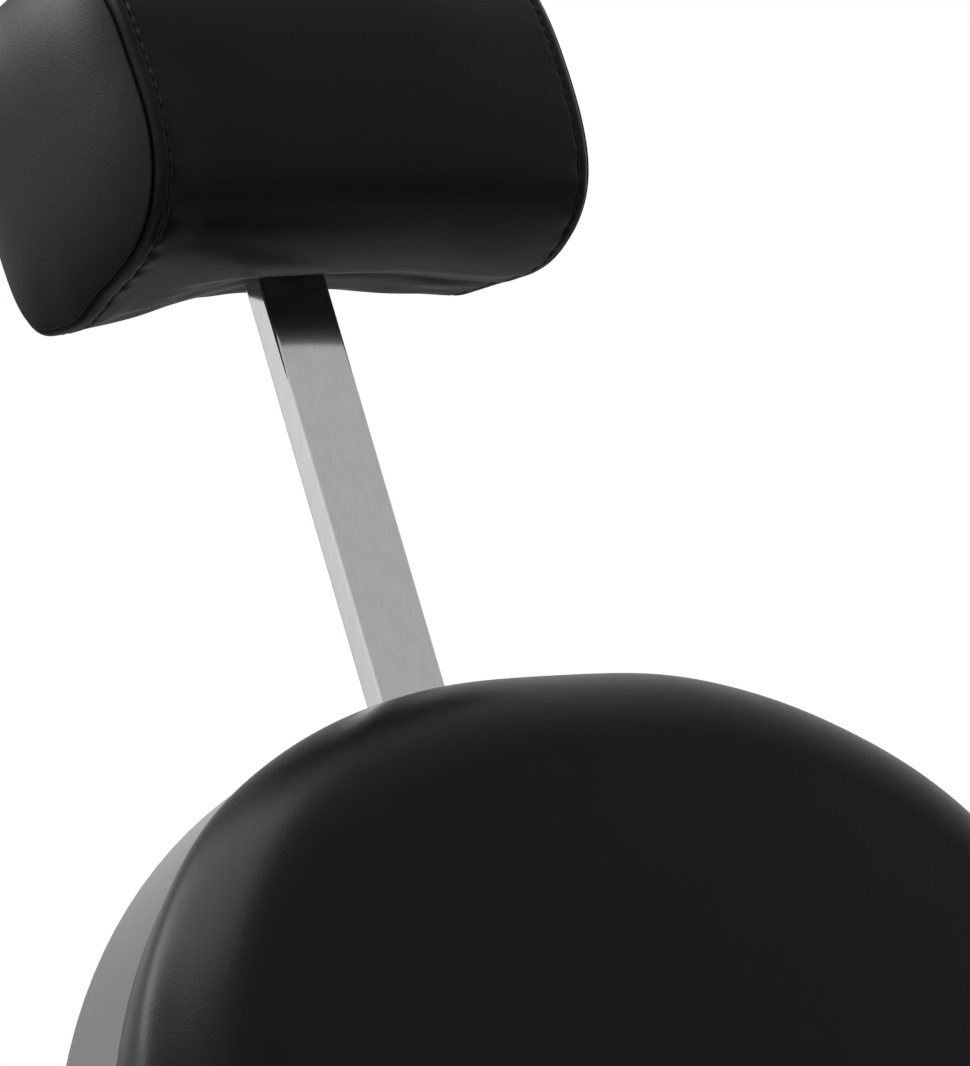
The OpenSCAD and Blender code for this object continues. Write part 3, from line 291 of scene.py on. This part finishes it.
leather = leatherette("leatherette", 0.0022, 0.33, 0.15)
thread = leatherette("thread", 0.006, 0.6, 0.2)
looks = {
    "rubber": paint("rubber", (0.02, 0.02, 0.021), 0.7, 300, 0.3),
    "cast_iron": paint("cast_iron", (0.03, 0.03, 0.032), 0.55, 140, 0.5),
    "polished_cover": metal("polished_cover", CHROME, 0.08, (1, 1, 1), 0.03, 0.96, 30),
    "dark_steel": paint("dark_steel", (0.028, 0.028, 0.03), 0.42),
    "black_steel": paint("black_steel", (0.015, 0.015, 0.016), 0.25),
    "polished_steel": metal("polished_steel", CHROME, 0.1, (1, 1, 1), 0.03, 0.95, 60),
    "polished_bar": metal("polished_bar", STEEL, 0.1, (1, 1, 0.15), 0.03, 0.94, 160),
    "polished_alloy": metal("polished_alloy", (0.7, 0.7, 0.71), 0.22, (1, 0.2, 1), 0.05, 0.92, 120),
    "bronze": metal("bronze", (0.5, 0.33, 0.14), 0.3),
    "zinc_steel": metal("zinc_steel", (0.5, 0.5, 0.52), 0.3),
    "silver_band": metal("silver_band", SILVER, 0.21, (1, 1, 1), 0.04, 0.95, 200),
    "plywood": plywood("plywood"),
    "painted_board": paint("painted_board", (0.02, 0.02, 0.021), 0.6, 90, 0.3),
    "leatherette": leather,
    "arm_pad": leatherette("arm_pad", 0.006, 0.5, 0.25),
    "black_plastic": paint("black_plastic", (0.018, 0.018, 0.019), 0.5, 500, 0.2),
    "nylon": paint("nylon", (0.75, 0.72, 0.64), 0.4),
}

for subpart in record["subparts"]:
    node = frame["nodes"][subpart["node"]]
    node.data.materials.clear()
    node.data.materials.append(looks[subpart["material_slot"]])


def trim(obj, body):
    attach(obj, body)


def upholstery(obj, body, node):
    trim(obj, body)
    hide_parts(node)


# Headrest bolster

post_low, post_high = local_box("headrest_post", BACK)
head_box = local_box("headrest_cushion", BACK)
post_middle = (post_low.y + post_high.y) / 2

# Its size, to the end seams, and its reach in front of the bar and behind it
HEAD_HALF = 123 * MM
HEAD_FRONT = 98 * MM
HEAD_BACK = 46 * MM
HEAD_H = 152 * MM
HEAD_FRONT_POWER = 2.75
HEAD_REAR_POWER = 4.5
HEAD_CROWN = 4 * MM

# The end panels, and the strip from each end seam to its row of stitches
HEAD_LIP = 1.1 * MM
HEAD_PUFF = 7 * MM
HEAD_PUFF_POWER = 3.2
HEAD_PANEL_SINK = 3.4 * MM
HEAD_SEAM_SINK = 2.6 * MM
HEAD_SEAM_W = 4.2 * MM
HEAD_STRIP = 7.4 * MM
HEAD_STITCHES = 76
POINTS_PER_STITCH = 3
HEAD_POINTS = POINTS_PER_STITCH * HEAD_STITCHES
STITCH_R = 0.42 * MM
STITCH_PROUD = 0.2 * MM
STITCH_HOLE = 1.5 * MM
STITCH_GROOVE = 0.55 * MM
STITCH_GROOVE_W = 0.9 * MM
PUCKERS = 34
PUCKER = 0.55 * MM
PUCKER_W = 3.6 * MM
UNEVEN = 0.5 * MM

HEAD_TOP = head_box[1].z - 3 * MM
head_half_d = (HEAD_FRONT + HEAD_BACK) / 2
head_half_h = HEAD_H / 2
head_cy = post_middle - HEAD_FRONT + head_half_d
head_cz = HEAD_TOP - head_half_h

# The cover is drawn up round the bar: place along the bolster, share of the pinch
PINCH = 16 * MM
PINCH_SHARES = [(-1, -0.18), (-0.85, 0.01), (-0.72, 0.18), (-0.58, 0.42), (-0.45, 0.72), (-0.28, 0.95),
                (0, 1), (0.4, 0.95), (0.55, 0.87), (0.75, 0.71), (1, 0.56)]

# What the pinch makes of the underside, upward: a lip, a crease, the flap behind it, a tuck at the bar
LIP = 2.4 * MM
CREASE = 3.2 * MM
FLAP = 2.2 * MM
BAR_TUCK = 4 * MM
BAR_TUCK_W = 26 * MM

# Stuffing: the right end hangs at its lower corner, the left end is fuller below and slimmer above
NEAR_FULL = 3 * MM
NEAR_DROOP = 3.6 * MM
FAR_FULL = 4.9 * MM
FAR_LIP = 2.5 * MM
FAR_SLIM = 3 * MM
FAR_SLANT = 1.9 * MM


def along_table(table, place):
    """The value a table gives for a place between its rows."""
    for (a, low), (b, high) in zip(table, table[1:]):
        if place <= b:
            return low + (high - low) * max(0, (place - a) / (b - a))
    return table[-1][1]


def head_offset(angle, grow):
    """A point of the bolster's section, fuller in front, from its middle."""
    c, s = math.cos(angle), math.sin(angle)
    power = HEAD_REAR_POWER if c >= 0 else HEAD_FRONT_POWER
    return Vector(((head_half_d + grow) * signed_power(c, 2 / power),
                   (head_half_h + grow) * signed_power(s, 2 / power)))


def even_angles(count, fine=24):
    """Angles that space the section's points evenly along the cover."""
    angles = [TAU * i / (count * fine) for i in range(count * fine + 1)]
    lengths = [0]
    for a, b in zip(angles, angles[1:]):
        lengths.append(lengths[-1] + (head_offset(b, 0) - head_offset(a, 0)).length)
    picked, k = [], 0
    for i in range(count):
        while lengths[k] < lengths[-1] * i / count:
            k += 1
        picked.append(angles[k])
    return picked


HEAD_ANGLES = even_angles(HEAD_POINTS)


def head_grow(x):
    """How far the cover stands out of the section at a place along the bolster."""
    from_seam = between(HEAD_HALF - abs(x), -HEAD_SEAM_W, HEAD_SEAM_W)
    return HEAD_CROWN * (1 - (abs(x) / HEAD_HALF) ** 3) - 2 * HEAD_SEAM_SINK * (1 - from_seam)


def head_under(x, y, share, along, depth):
    """How far the underside is drawn up: the pinch with its lip, crease, flap, tuck and folds."""
    pinch = along_table(PINCH_SHARES, share)
    under = between(depth, 0.72, 0.94)
    middle = between(1 - abs(share), 0, 0.25)
    past_bar = between(share, -0.45, 0.05)
    fold = (1.7 * noise.noise((x * 22, y * 42, 3.1))
            + 1.1 * abs(noise.noise((x * 34 + y * 18, y * 70, 7.7)))) * MM
    shape = LIP * pinch * middle * hump(along, 0.1, 0.14)
    shape += CREASE * middle * past_bar * hump(along, 0.24, 0.055)
    shape += FLAP * middle * past_bar * between(along, 0.2, 0.6)
    shape += BAR_TUCK * hump(x, 0, BAR_TUCK_W) * hump(along, 0.36, 0.24)
    shape += fold * middle * between(along, 0.12, 0.32)
    return PINCH * pinch * between(depth, 0.3, 0.9) * between(along, -0.4, 0.6) + under * shape


def head_seam(x, y, z, along, depth, index):
    """How far the cover stands out near its end seams: puckers, and the groove with its stitch holes."""
    inward = HEAD_HALF - abs(x)
    gather = 0.25 + 0.75 * between(depth, 0.1, 0.8) * (1 - between(along, -0.2, 0.6))
    ripple = math.sin(index * TAU * PUCKERS / HEAD_POINTS + 7 * noise.noise((x * 22, y * 14, z * 14)))
    ripple += 0.5 * noise.noise((x * 90, y * 90, z * 90))
    sink = STITCH_GROOVE if index % POINTS_PER_STITCH else STITCH_HOLE
    return (PUCKER * gather * ripple * hump(inward, HEAD_STRIP + 1.5 * MM, PUCKER_W)
            - sink * hump(inward, HEAD_STRIP, STITCH_GROOVE_W))


def head_place(x, y, z, index):
    """Moves a point of the section to its place on the stuffed bolster."""
    share = x / HEAD_HALF
    along, depth = y / head_half_d, -z / head_half_h
    lift = head_under(x, y, share, along, depth)
    out = head_seam(x, y, z, along, depth, index)
    out += UNEVEN * noise.noise((x * 9, y * 9, z * 9)) * between(1 - abs(share), 0, 0.25)
    near = between(-share, 0.72, 0.96)
    out += NEAR_FULL * near * between(depth, -0.25, 0.45) * (1 - 1.5 * between(along, 0.2, 0.7))
    lift -= NEAR_DROOP * near * between(depth, 0.4, 0.9) * between(along, -0.1, 0.4)
    far = between(share, 0.3, 0.9)
    out += FAR_FULL * far * hump(along, -0.21, 0.66) * between(depth, 0.1, 0.7)
    out += FAR_LIP * far * hump(along, -0.85, 0.35) * hump(depth, 0.85, 0.35)
    out -= FAR_SLIM * far * hump(depth, -0.5, 0.5) * eased(-along)
    grown = 1 + out / math.hypot(y, z)
    return y * grown + FAR_SLANT * far * depth, z * grown + lift


def head_ring(x, grow, share):
    ring = []
    for index, angle in enumerate(HEAD_ANGLES):
        y, z = head_place(max(-HEAD_HALF, min(HEAD_HALF, x)), *head_offset(angle, grow), index)
        ring.append((x, head_cy + y * share, head_cz + z * share))
    return ring


def head_stations():
    """Places of the rings: closer together round each row of stitches."""
    inward = [1.3, 2, 3, 4.2, 5.4, 6.4, 7, 7.4, 7.8, 8.4, 9.4, 11, 13, 16, 20, 25]
    right = [n * MM - HEAD_HALF for n in inward]
    count = 32
    span = -2 * right[-1]
    middle = [right[-1] + span * (k + 1) / (count + 1) for k in range(count)]
    return right + middle + [-x for x in reversed(right)]


def head_cap(side):
    """The end panel: a pillow with its edge rolled into the seam."""
    rings = []
    steps = 15
    for step in range(1, steps):
        share = math.sin(math.pi / 2 * step / steps)
        puff = HEAD_PUFF * (1 - share ** HEAD_PUFF_POWER)
        rings.append(head_ring(side * (HEAD_HALF + HEAD_LIP + puff), -HEAD_PANEL_SINK, share))
    for out, grow in ((1.0, -3.1), (0.5, -2.9), (0.1, -4.4), (-0.5, -4.6)):
        rings.append(head_ring(side * (HEAD_HALF + out * MM), grow * MM, 1))
    return rings


def make_headrest():
    body = [head_ring(x, head_grow(x), 1) for x in head_stations()]
    rings = head_cap(-1) + body + list(reversed(head_cap(1)))
    outer = HEAD_HALF + HEAD_LIP + HEAD_PUFF
    bolster = loft("headrest_bolster", rings, (-outer, head_cy, head_cz), (outer, head_cy, head_cz),
                   leather, BACK)
    upholstery(bolster, "headrest", "headrest_cushion")
    for side, word in ((-1, "right"), (1, "left")):
        x = side * (HEAD_HALF - HEAD_STRIP)
        path = [BACK @ Vector(p) for p in head_ring(x, head_grow(x) + STITCH_PROUD, 1)]
        line = stitches("headrest_stitches_" + word, path, POINTS_PER_STITCH, STITCH_R, thread)
        trim(line, "headrest")


make_headrest()


# The bar: a flat section with worn, rounded edges

BAR_EDGE = 1.6 * MM


def make_bar():
    bm = bmesh.new()
    bmesh.ops.create_cube(bm, size=1)
    size = post_high - post_low
    middle = (post_high + post_low) / 2
    for v in bm.verts:
        v.co = Vector([middle[i] + v.co[i] * size[i] for i in range(3)])
    bmesh.ops.bevel(bm, geom=bm.edges[:], offset=BAR_EDGE, segments=4, profile=0.5, affect="EDGES")
    bm.transform(BACK)
    bar = add_object("headrest_bar", bm, looks["polished_bar"])
    bar.modifiers.new("normals", "WEIGHTED_NORMAL").keep_sharp = True
    trim(bar, "headrest")
    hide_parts("headrest_post")


make_bar()


# Round back cushion

band_low, band_high = local_box("back_band", BACK)
BACK_R = (band_high.x - band_low.x) / 2
BAND_WALL = 3 * MM
BAND_CLEAR = 0.4 * MM
back_middle = (band_low.z + band_high.z) / 2
back_rear = band_high.y
BACK_POINTS = 160

# The pad's start inside the band, its crown over the band's edge, and how it is rounded
BACK_START = 16.4 * MM
BACK_CROWN = 79.5 * MM
BACK_BULGE = 0.4 * MM
BACK_EDGE = 55 * MM
BACK_DOME = 8.4 * MM

# The stuffing has settled a little, and its outline turns from round to squarer toward the front
BACK_DROP = 5.7 * MM
BACK_TURN = 5 * MM
BACK_POWER_ADD = 0.4
BACK_POWER_RAMP = 2.3

# Unevenness of the stuffing round the pad: degrees from its top toward the sitter's left, spread, mm
PAD_LUMPS = [(-41, 7, 1.1), (-8, 9, 0.9), (15, 7, 1.3), (34, 7, -1), (52, 8, 0.8)]


def pad_profile(band_depth, start, bulge, edge, crown, dome, side_steps=14, dome_steps=16, belly=1.3):
    """Levels of a pad in a band: how far in from the band's outside, share of that outline, height.

    Over the band's edge the pad swells out to its belly, then rounds in to a low dome."""
    tuck = BAND_WALL + BAND_CLEAR
    rim = tuck - 1 * MM
    low = band_depth + belly * bulge
    over_rim = low - band_depth - 0.5 * MM
    levels = [(tuck, 1, start), (tuck, 1, band_depth - 1.5 * MM), (tuck - 0.3 * MM, 1, band_depth)]
    rim_steps = 6
    for k in range(rim_steps):
        turn = math.pi / 2 * k / rim_steps
        levels.append((rim - (rim + bulge) * math.sin(turn), 1, low - over_rim * math.cos(turn)))
    for k in range(side_steps + 1):
        turn = math.pi / 2 * k / side_steps
        levels.append((edge * (1 - math.cos(turn)) - bulge, 1, low + (crown - dome - low) * math.sin(turn)))
    for k in range(1, dome_steps + 1):
        share = 1 - k / (dome_steps + 1)
        levels.append((edge - bulge, share, crown - dome + dome * (1 - share ** 2)))
    return levels


def make_back_cushion():
    depth = band_high.y - band_low.y
    crown = depth + BACK_CROWN
    levels = pad_profile(depth, BACK_START, BACK_BULGE, BACK_EDGE, crown, BACK_DOME, 20, 18)
    rings = []
    for inset, share, height in levels:
        rise = max(0, height - depth) / (BACK_CROWN - BACK_DOME)
        power = 2 + BACK_POWER_ADD * min(1, rise * BACK_POWER_RAMP)
        above = between(height, depth, depth + BACK_TURN)
        r = BACK_R - inset
        ring = []
        for x, z in oval(r, r, r, power, power, BACK_POINTS):
            lean = math.degrees(math.atan2(x, z))
            lump = sum(out * hump(lean, middle, width) for middle, width, out in PAD_LUMPS) * MM
            out = share * (1 + above * lump / math.hypot(x, z))
            drop = share * above * BACK_DROP * z / r
            ring.append((x * out, back_rear - height, back_middle + z * out - drop))
        rings.append(ring)
    cushion = loft("back_pad", rings, (0, back_rear - BACK_START, back_middle),
                   (0, back_rear - crown, back_middle), leather, BACK)
    upholstery(cushion, "back", "back_cushion")


make_back_cushion()


# Seat cushion

seat_low, seat_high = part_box("seat_band")
seat_pad_low, seat_pad_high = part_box("seat_cushion")
SEAT_POINTS = 160
seat_half_w = (seat_high.x - seat_low.x) / 2
seat_middle_y = -8 * MM
seat_rear = seat_high.y - seat_middle_y
seat_front = seat_middle_y - seat_low.y
SEAT_BULGE = 5 * MM
SEAT_EDGE = 44 * MM
SEAT_DOME = 24 * MM


def seat_ring(inset, share, z):
    points = oval(seat_half_w - inset, seat_rear - inset, seat_front - inset, 4, 2.3, SEAT_POINTS)
    return [(x * share, seat_middle_y + y * share, z) for x, y in points]


def make_seat_cushion():
    base = seat_pad_low.z
    depth = seat_high.z - base
    crown = seat_pad_high.z - base
    levels = pad_profile(depth, 0, SEAT_BULGE, SEAT_EDGE, crown, SEAT_DOME)
    rings = [seat_ring(inset, share, base + height) for inset, share, height in levels]
    cushion = loft("seat_pad", rings, (0, seat_middle_y, base), (0, seat_middle_y, base + crown), leather)
    upholstery(cushion, "seat", "seat_cushion")


make_seat_cushion()


# Legrest cushion

leg_low, leg_high = local_box("legrest_band", LEG)
leg_pad_low, leg_pad_high = local_box("legrest_cushion", LEG)
LEG_POINTS = 128
leg_half_w = (leg_high.x - leg_low.x) / 2
leg_half_h = (leg_high.z - leg_low.z) / 2
leg_middle = (leg_high.z + leg_low.z) / 2
LEG_BULGE = 3 * MM
LEG_EDGE = 20 * MM
LEG_DOME = 8 * MM


def make_legrest_cushion():
    depth = leg_high.y - leg_low.y
    start = leg_high.y - leg_pad_high.y
    crown = leg_high.y - leg_pad_low.y
    levels = pad_profile(depth, start, LEG_BULGE, LEG_EDGE, crown, LEG_DOME, 10, 8)
    rings = []
    for inset, share, height in levels:
        outline = oval(leg_half_w - inset, leg_half_h - inset, leg_half_h - inset, 4, 4, LEG_POINTS)
        rings.append([(x * share, leg_high.y - height, leg_middle + z * share) for x, z in outline])
    cushion = loft("legrest_pad", rings, (0, leg_high.y - start, leg_middle),
                   (0, leg_high.y - crown, leg_middle), leather, LEG)
    upholstery(cushion, "legrest", "legrest_cushion")


make_legrest_cushion()


# Arm pads

ARM_POINTS = 96
ARM_POWER = 5
ARM_EDGE = 12 * MM
ARM_WALL = 11 * MM
ARM_DOME = 5 * MM


def make_arm_pad(word):
    low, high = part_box("arm_pad_" + word)
    middle = (low + high) / 2
    half_w, half_len, height = (high.x - low.x) / 2, (high.y - low.y) / 2, high.z - low.z
    levels = [(3 * MM, 1, 0), (0.8 * MM, 1, 1 * MM), (0, 1, 3 * MM)]
    side_steps, dome_steps = 10, 6
    for k in range(side_steps + 1):
        turn = math.pi / 2 * k / side_steps
        levels.append((ARM_EDGE * (1 - math.cos(turn)), 1,
                       ARM_WALL + (height - ARM_DOME - ARM_WALL) * math.sin(turn)))
    for k in range(1, dome_steps + 1):
        share = 1 - k / (dome_steps + 1)
        levels.append((ARM_EDGE, share, height - ARM_DOME * share ** 2))
    rings = []
    for inset, share, z in levels:
        outline = oval(half_w - inset, half_len - inset, half_len - inset, ARM_POWER, ARM_POWER, ARM_POINTS)
        rings.append([(middle.x + x * share, middle.y + y * share, low.z + z) for x, y in outline])
    pad = loft("armrest_" + word, rings, (middle.x, middle.y, low.z), (middle.x, middle.y, high.z),
               looks["arm_pad"])
    upholstery(pad, "seat", "arm_pad_" + word)


for word in ("right", "left"):
    make_arm_pad(word)


# Studio: a pale floor that fades to white, a white ground, soft lamps

FLOOR_R = 3.6
FLOOR_GREY = 0.72
FLOOR_SHEEN = 0.2
FADE_START = 0.9
FADE_END = 2.6

# Levels of the room that the surfaces mirror, where white is 1, and the level that lights them
ROOM_FRONT = 0.8
ROOM_REAR = 1
ROOM_BEHIND = 0.72
ROOM_LOW = 0.22
ROOM_FILL = 0.62


def make_floor():
    material, tree, shader = new_material("floor")
    bm = bmesh.new()
    bmesh.ops.create_circle(bm, cap_ends=True, segments=96, radius=FLOOR_R)
    floor = add_object("floor", bm, material)
    floor.location.z = -0.2 * MM
    shader.inputs["Base Color"].default_value = (*grey(FLOOR_GREY), 1)
    shader.inputs["Roughness"].default_value = 0.6
    shader.inputs["Specular IOR Level"].default_value = 0.2
    coords = tree.nodes.new("ShaderNodeTexCoord")
    distance = tree.nodes.new("ShaderNodeVectorMath")
    distance.operation = "LENGTH"
    link(tree, coords.outputs["Object"], distance.inputs[0])
    fade = map_range(tree, distance.outputs["Value"], FADE_START, FADE_END, 0, 1)
    rays = tree.nodes.new("ShaderNodeLightPath")
    white = tree.nodes.new("ShaderNodeEmission")
    link(tree, spread(tree, rays.outputs["Is Camera Ray"], FLOOR_SHEEN, 1), white.inputs["Strength"])
    mix = tree.nodes.new("ShaderNodeMixShader")
    link(tree, fade, mix.inputs["Fac"])
    link(tree, shader.outputs["BSDF"], mix.inputs[1])
    link(tree, white.outputs["Emission"], mix.inputs[2])
    link(tree, mix.outputs["Shader"], tree.nodes["Material Output"].inputs["Surface"])


def map_range(tree, value, from_low, from_high, low, high):
    node = tree.nodes.new("ShaderNodeMapRange")
    node.interpolation_type = "SMOOTHSTEP"
    for name, number in (("From Min", from_low), ("From Max", from_high), ("To Min", low), ("To Max", high)):
        node.inputs[name].default_value = number
    link(tree, value, node.inputs["Value"])
    return node.outputs["Result"]


def math_node(tree, operation, a, b):
    node = tree.nodes.new("ShaderNodeMath")
    node.operation = operation
    for socket, value in zip(node.inputs, (a, b)):
        if isinstance(value, (int, float)):
            socket.default_value = value
        else:
            link(tree, value, socket)
    return node.outputs["Value"]


def make_world():
    """White to the eye and behind the object; a grey room in front, dimmer toward the floor."""
    world = bpy.data.worlds.new("studio")
    scene.world = world
    world.use_nodes = True
    tree = world.node_tree
    background = tree.nodes["Background"]
    coords = tree.nodes.new("ShaderNodeTexCoord")
    split = tree.nodes.new("ShaderNodeSeparateXYZ")
    link(tree, coords.outputs["Generated"], split.inputs["Vector"])
    ahead = map_range(tree, split.outputs["Y"], -0.5, 0.3, ROOM_FRONT, ROOM_REAR)
    upward = map_range(tree, split.outputs["Z"], -0.4, 0, ROOM_LOW, 1)
    sideways = map_range(tree, split.outputs["X"], -0.55, -0.25, 1, ROOM_BEHIND)
    rays = tree.nodes.new("ShaderNodeLightPath")
    mirrored = math_node(tree, "MAXIMUM", rays.outputs["Is Glossy Ray"], rays.outputs["Is Transmission Ray"])
    level = tree.nodes.new("ShaderNodeMix")
    level.inputs["A"].default_value = ROOM_FILL
    link(tree, mirrored, level.inputs["Factor"])
    across = math_node(tree, "MULTIPLY", ahead, upward)
    link(tree, math_node(tree, "MULTIPLY", across, sideways), level.inputs["B"])
    final = tree.nodes.new("ShaderNodeMix")
    final.inputs["B"].default_value = 1
    link(tree, rays.outputs["Is Camera Ray"], final.inputs["Factor"])
    link(tree, level.outputs["Result"], final.inputs["A"])
    link(tree, final.outputs["Result"], background.inputs["Strength"])
    background.inputs["Color"].default_value = (1, 1, 1, 1)


def area_lamp(name, place, aim, size, power):
    lamp = bpy.data.lights.new(name, "AREA")
    lamp.shape = "RECTANGLE"
    lamp.size, lamp.size_y = size
    lamp.energy = power
    obj = bpy.data.objects.new(name, lamp)
    obj.location = place
    obj.rotation_euler = (Vector(aim) - Vector(place)).to_track_quat("-Z", "Y").to_euler()
    scene.collection.objects.link(obj)


make_floor()
make_world()
area_lamp("rear_left", (-1.63, 2.98, 2.56), (0, 0.4, 1), (1.3, 2), 57)
area_lamp("high_left", (-0.8, 1, 2.85), (-0.2, 0.3, 0.95), (1.7, 1.5), 29)

# Camera: the photograph's place and framing

PHOTO_W, PHOTO_H = 970, 1066
VIEW_YAW = math.radians(36.66)
VIEW_PITCH = math.radians(4.96)
VIEW_DISTANCE = 3.5
PIXELS_PER_M = 2180
AIM_X, AIM_Y = 407.15, 700
AIM_ON_BAR = 652 * MM
SENSOR = 36

aim = BACK @ Vector((0, post_middle, AIM_ON_BAR))
toward = Vector((-math.sin(VIEW_YAW) * math.cos(VIEW_PITCH), -math.cos(VIEW_YAW) * math.cos(VIEW_PITCH),
                 math.sin(VIEW_PITCH)))
right = Vector((math.cos(VIEW_YAW), -math.sin(VIEW_YAW), 0))
up = toward.cross(right)
camera_data = bpy.data.cameras.new("camera")
camera_data.sensor_fit = "HORIZONTAL"
camera_data.sensor_width = SENSOR
camera_data.lens = PIXELS_PER_M * VIEW_DISTANCE * SENSOR / PHOTO_W
camera = bpy.data.objects.new("camera", camera_data)
camera.rotation_euler = Matrix((right, up, toward)).transposed().to_euler()
camera.location = (aim + VIEW_DISTANCE * toward - (AIM_X - PHOTO_W / 2) / PIXELS_PER_M * right
                   - (PHOTO_H / 2 - AIM_Y) / PIXELS_PER_M * up)
scene.collection.objects.link(camera)
scene.camera = camera
scene.view_settings.view_transform = "Standard"
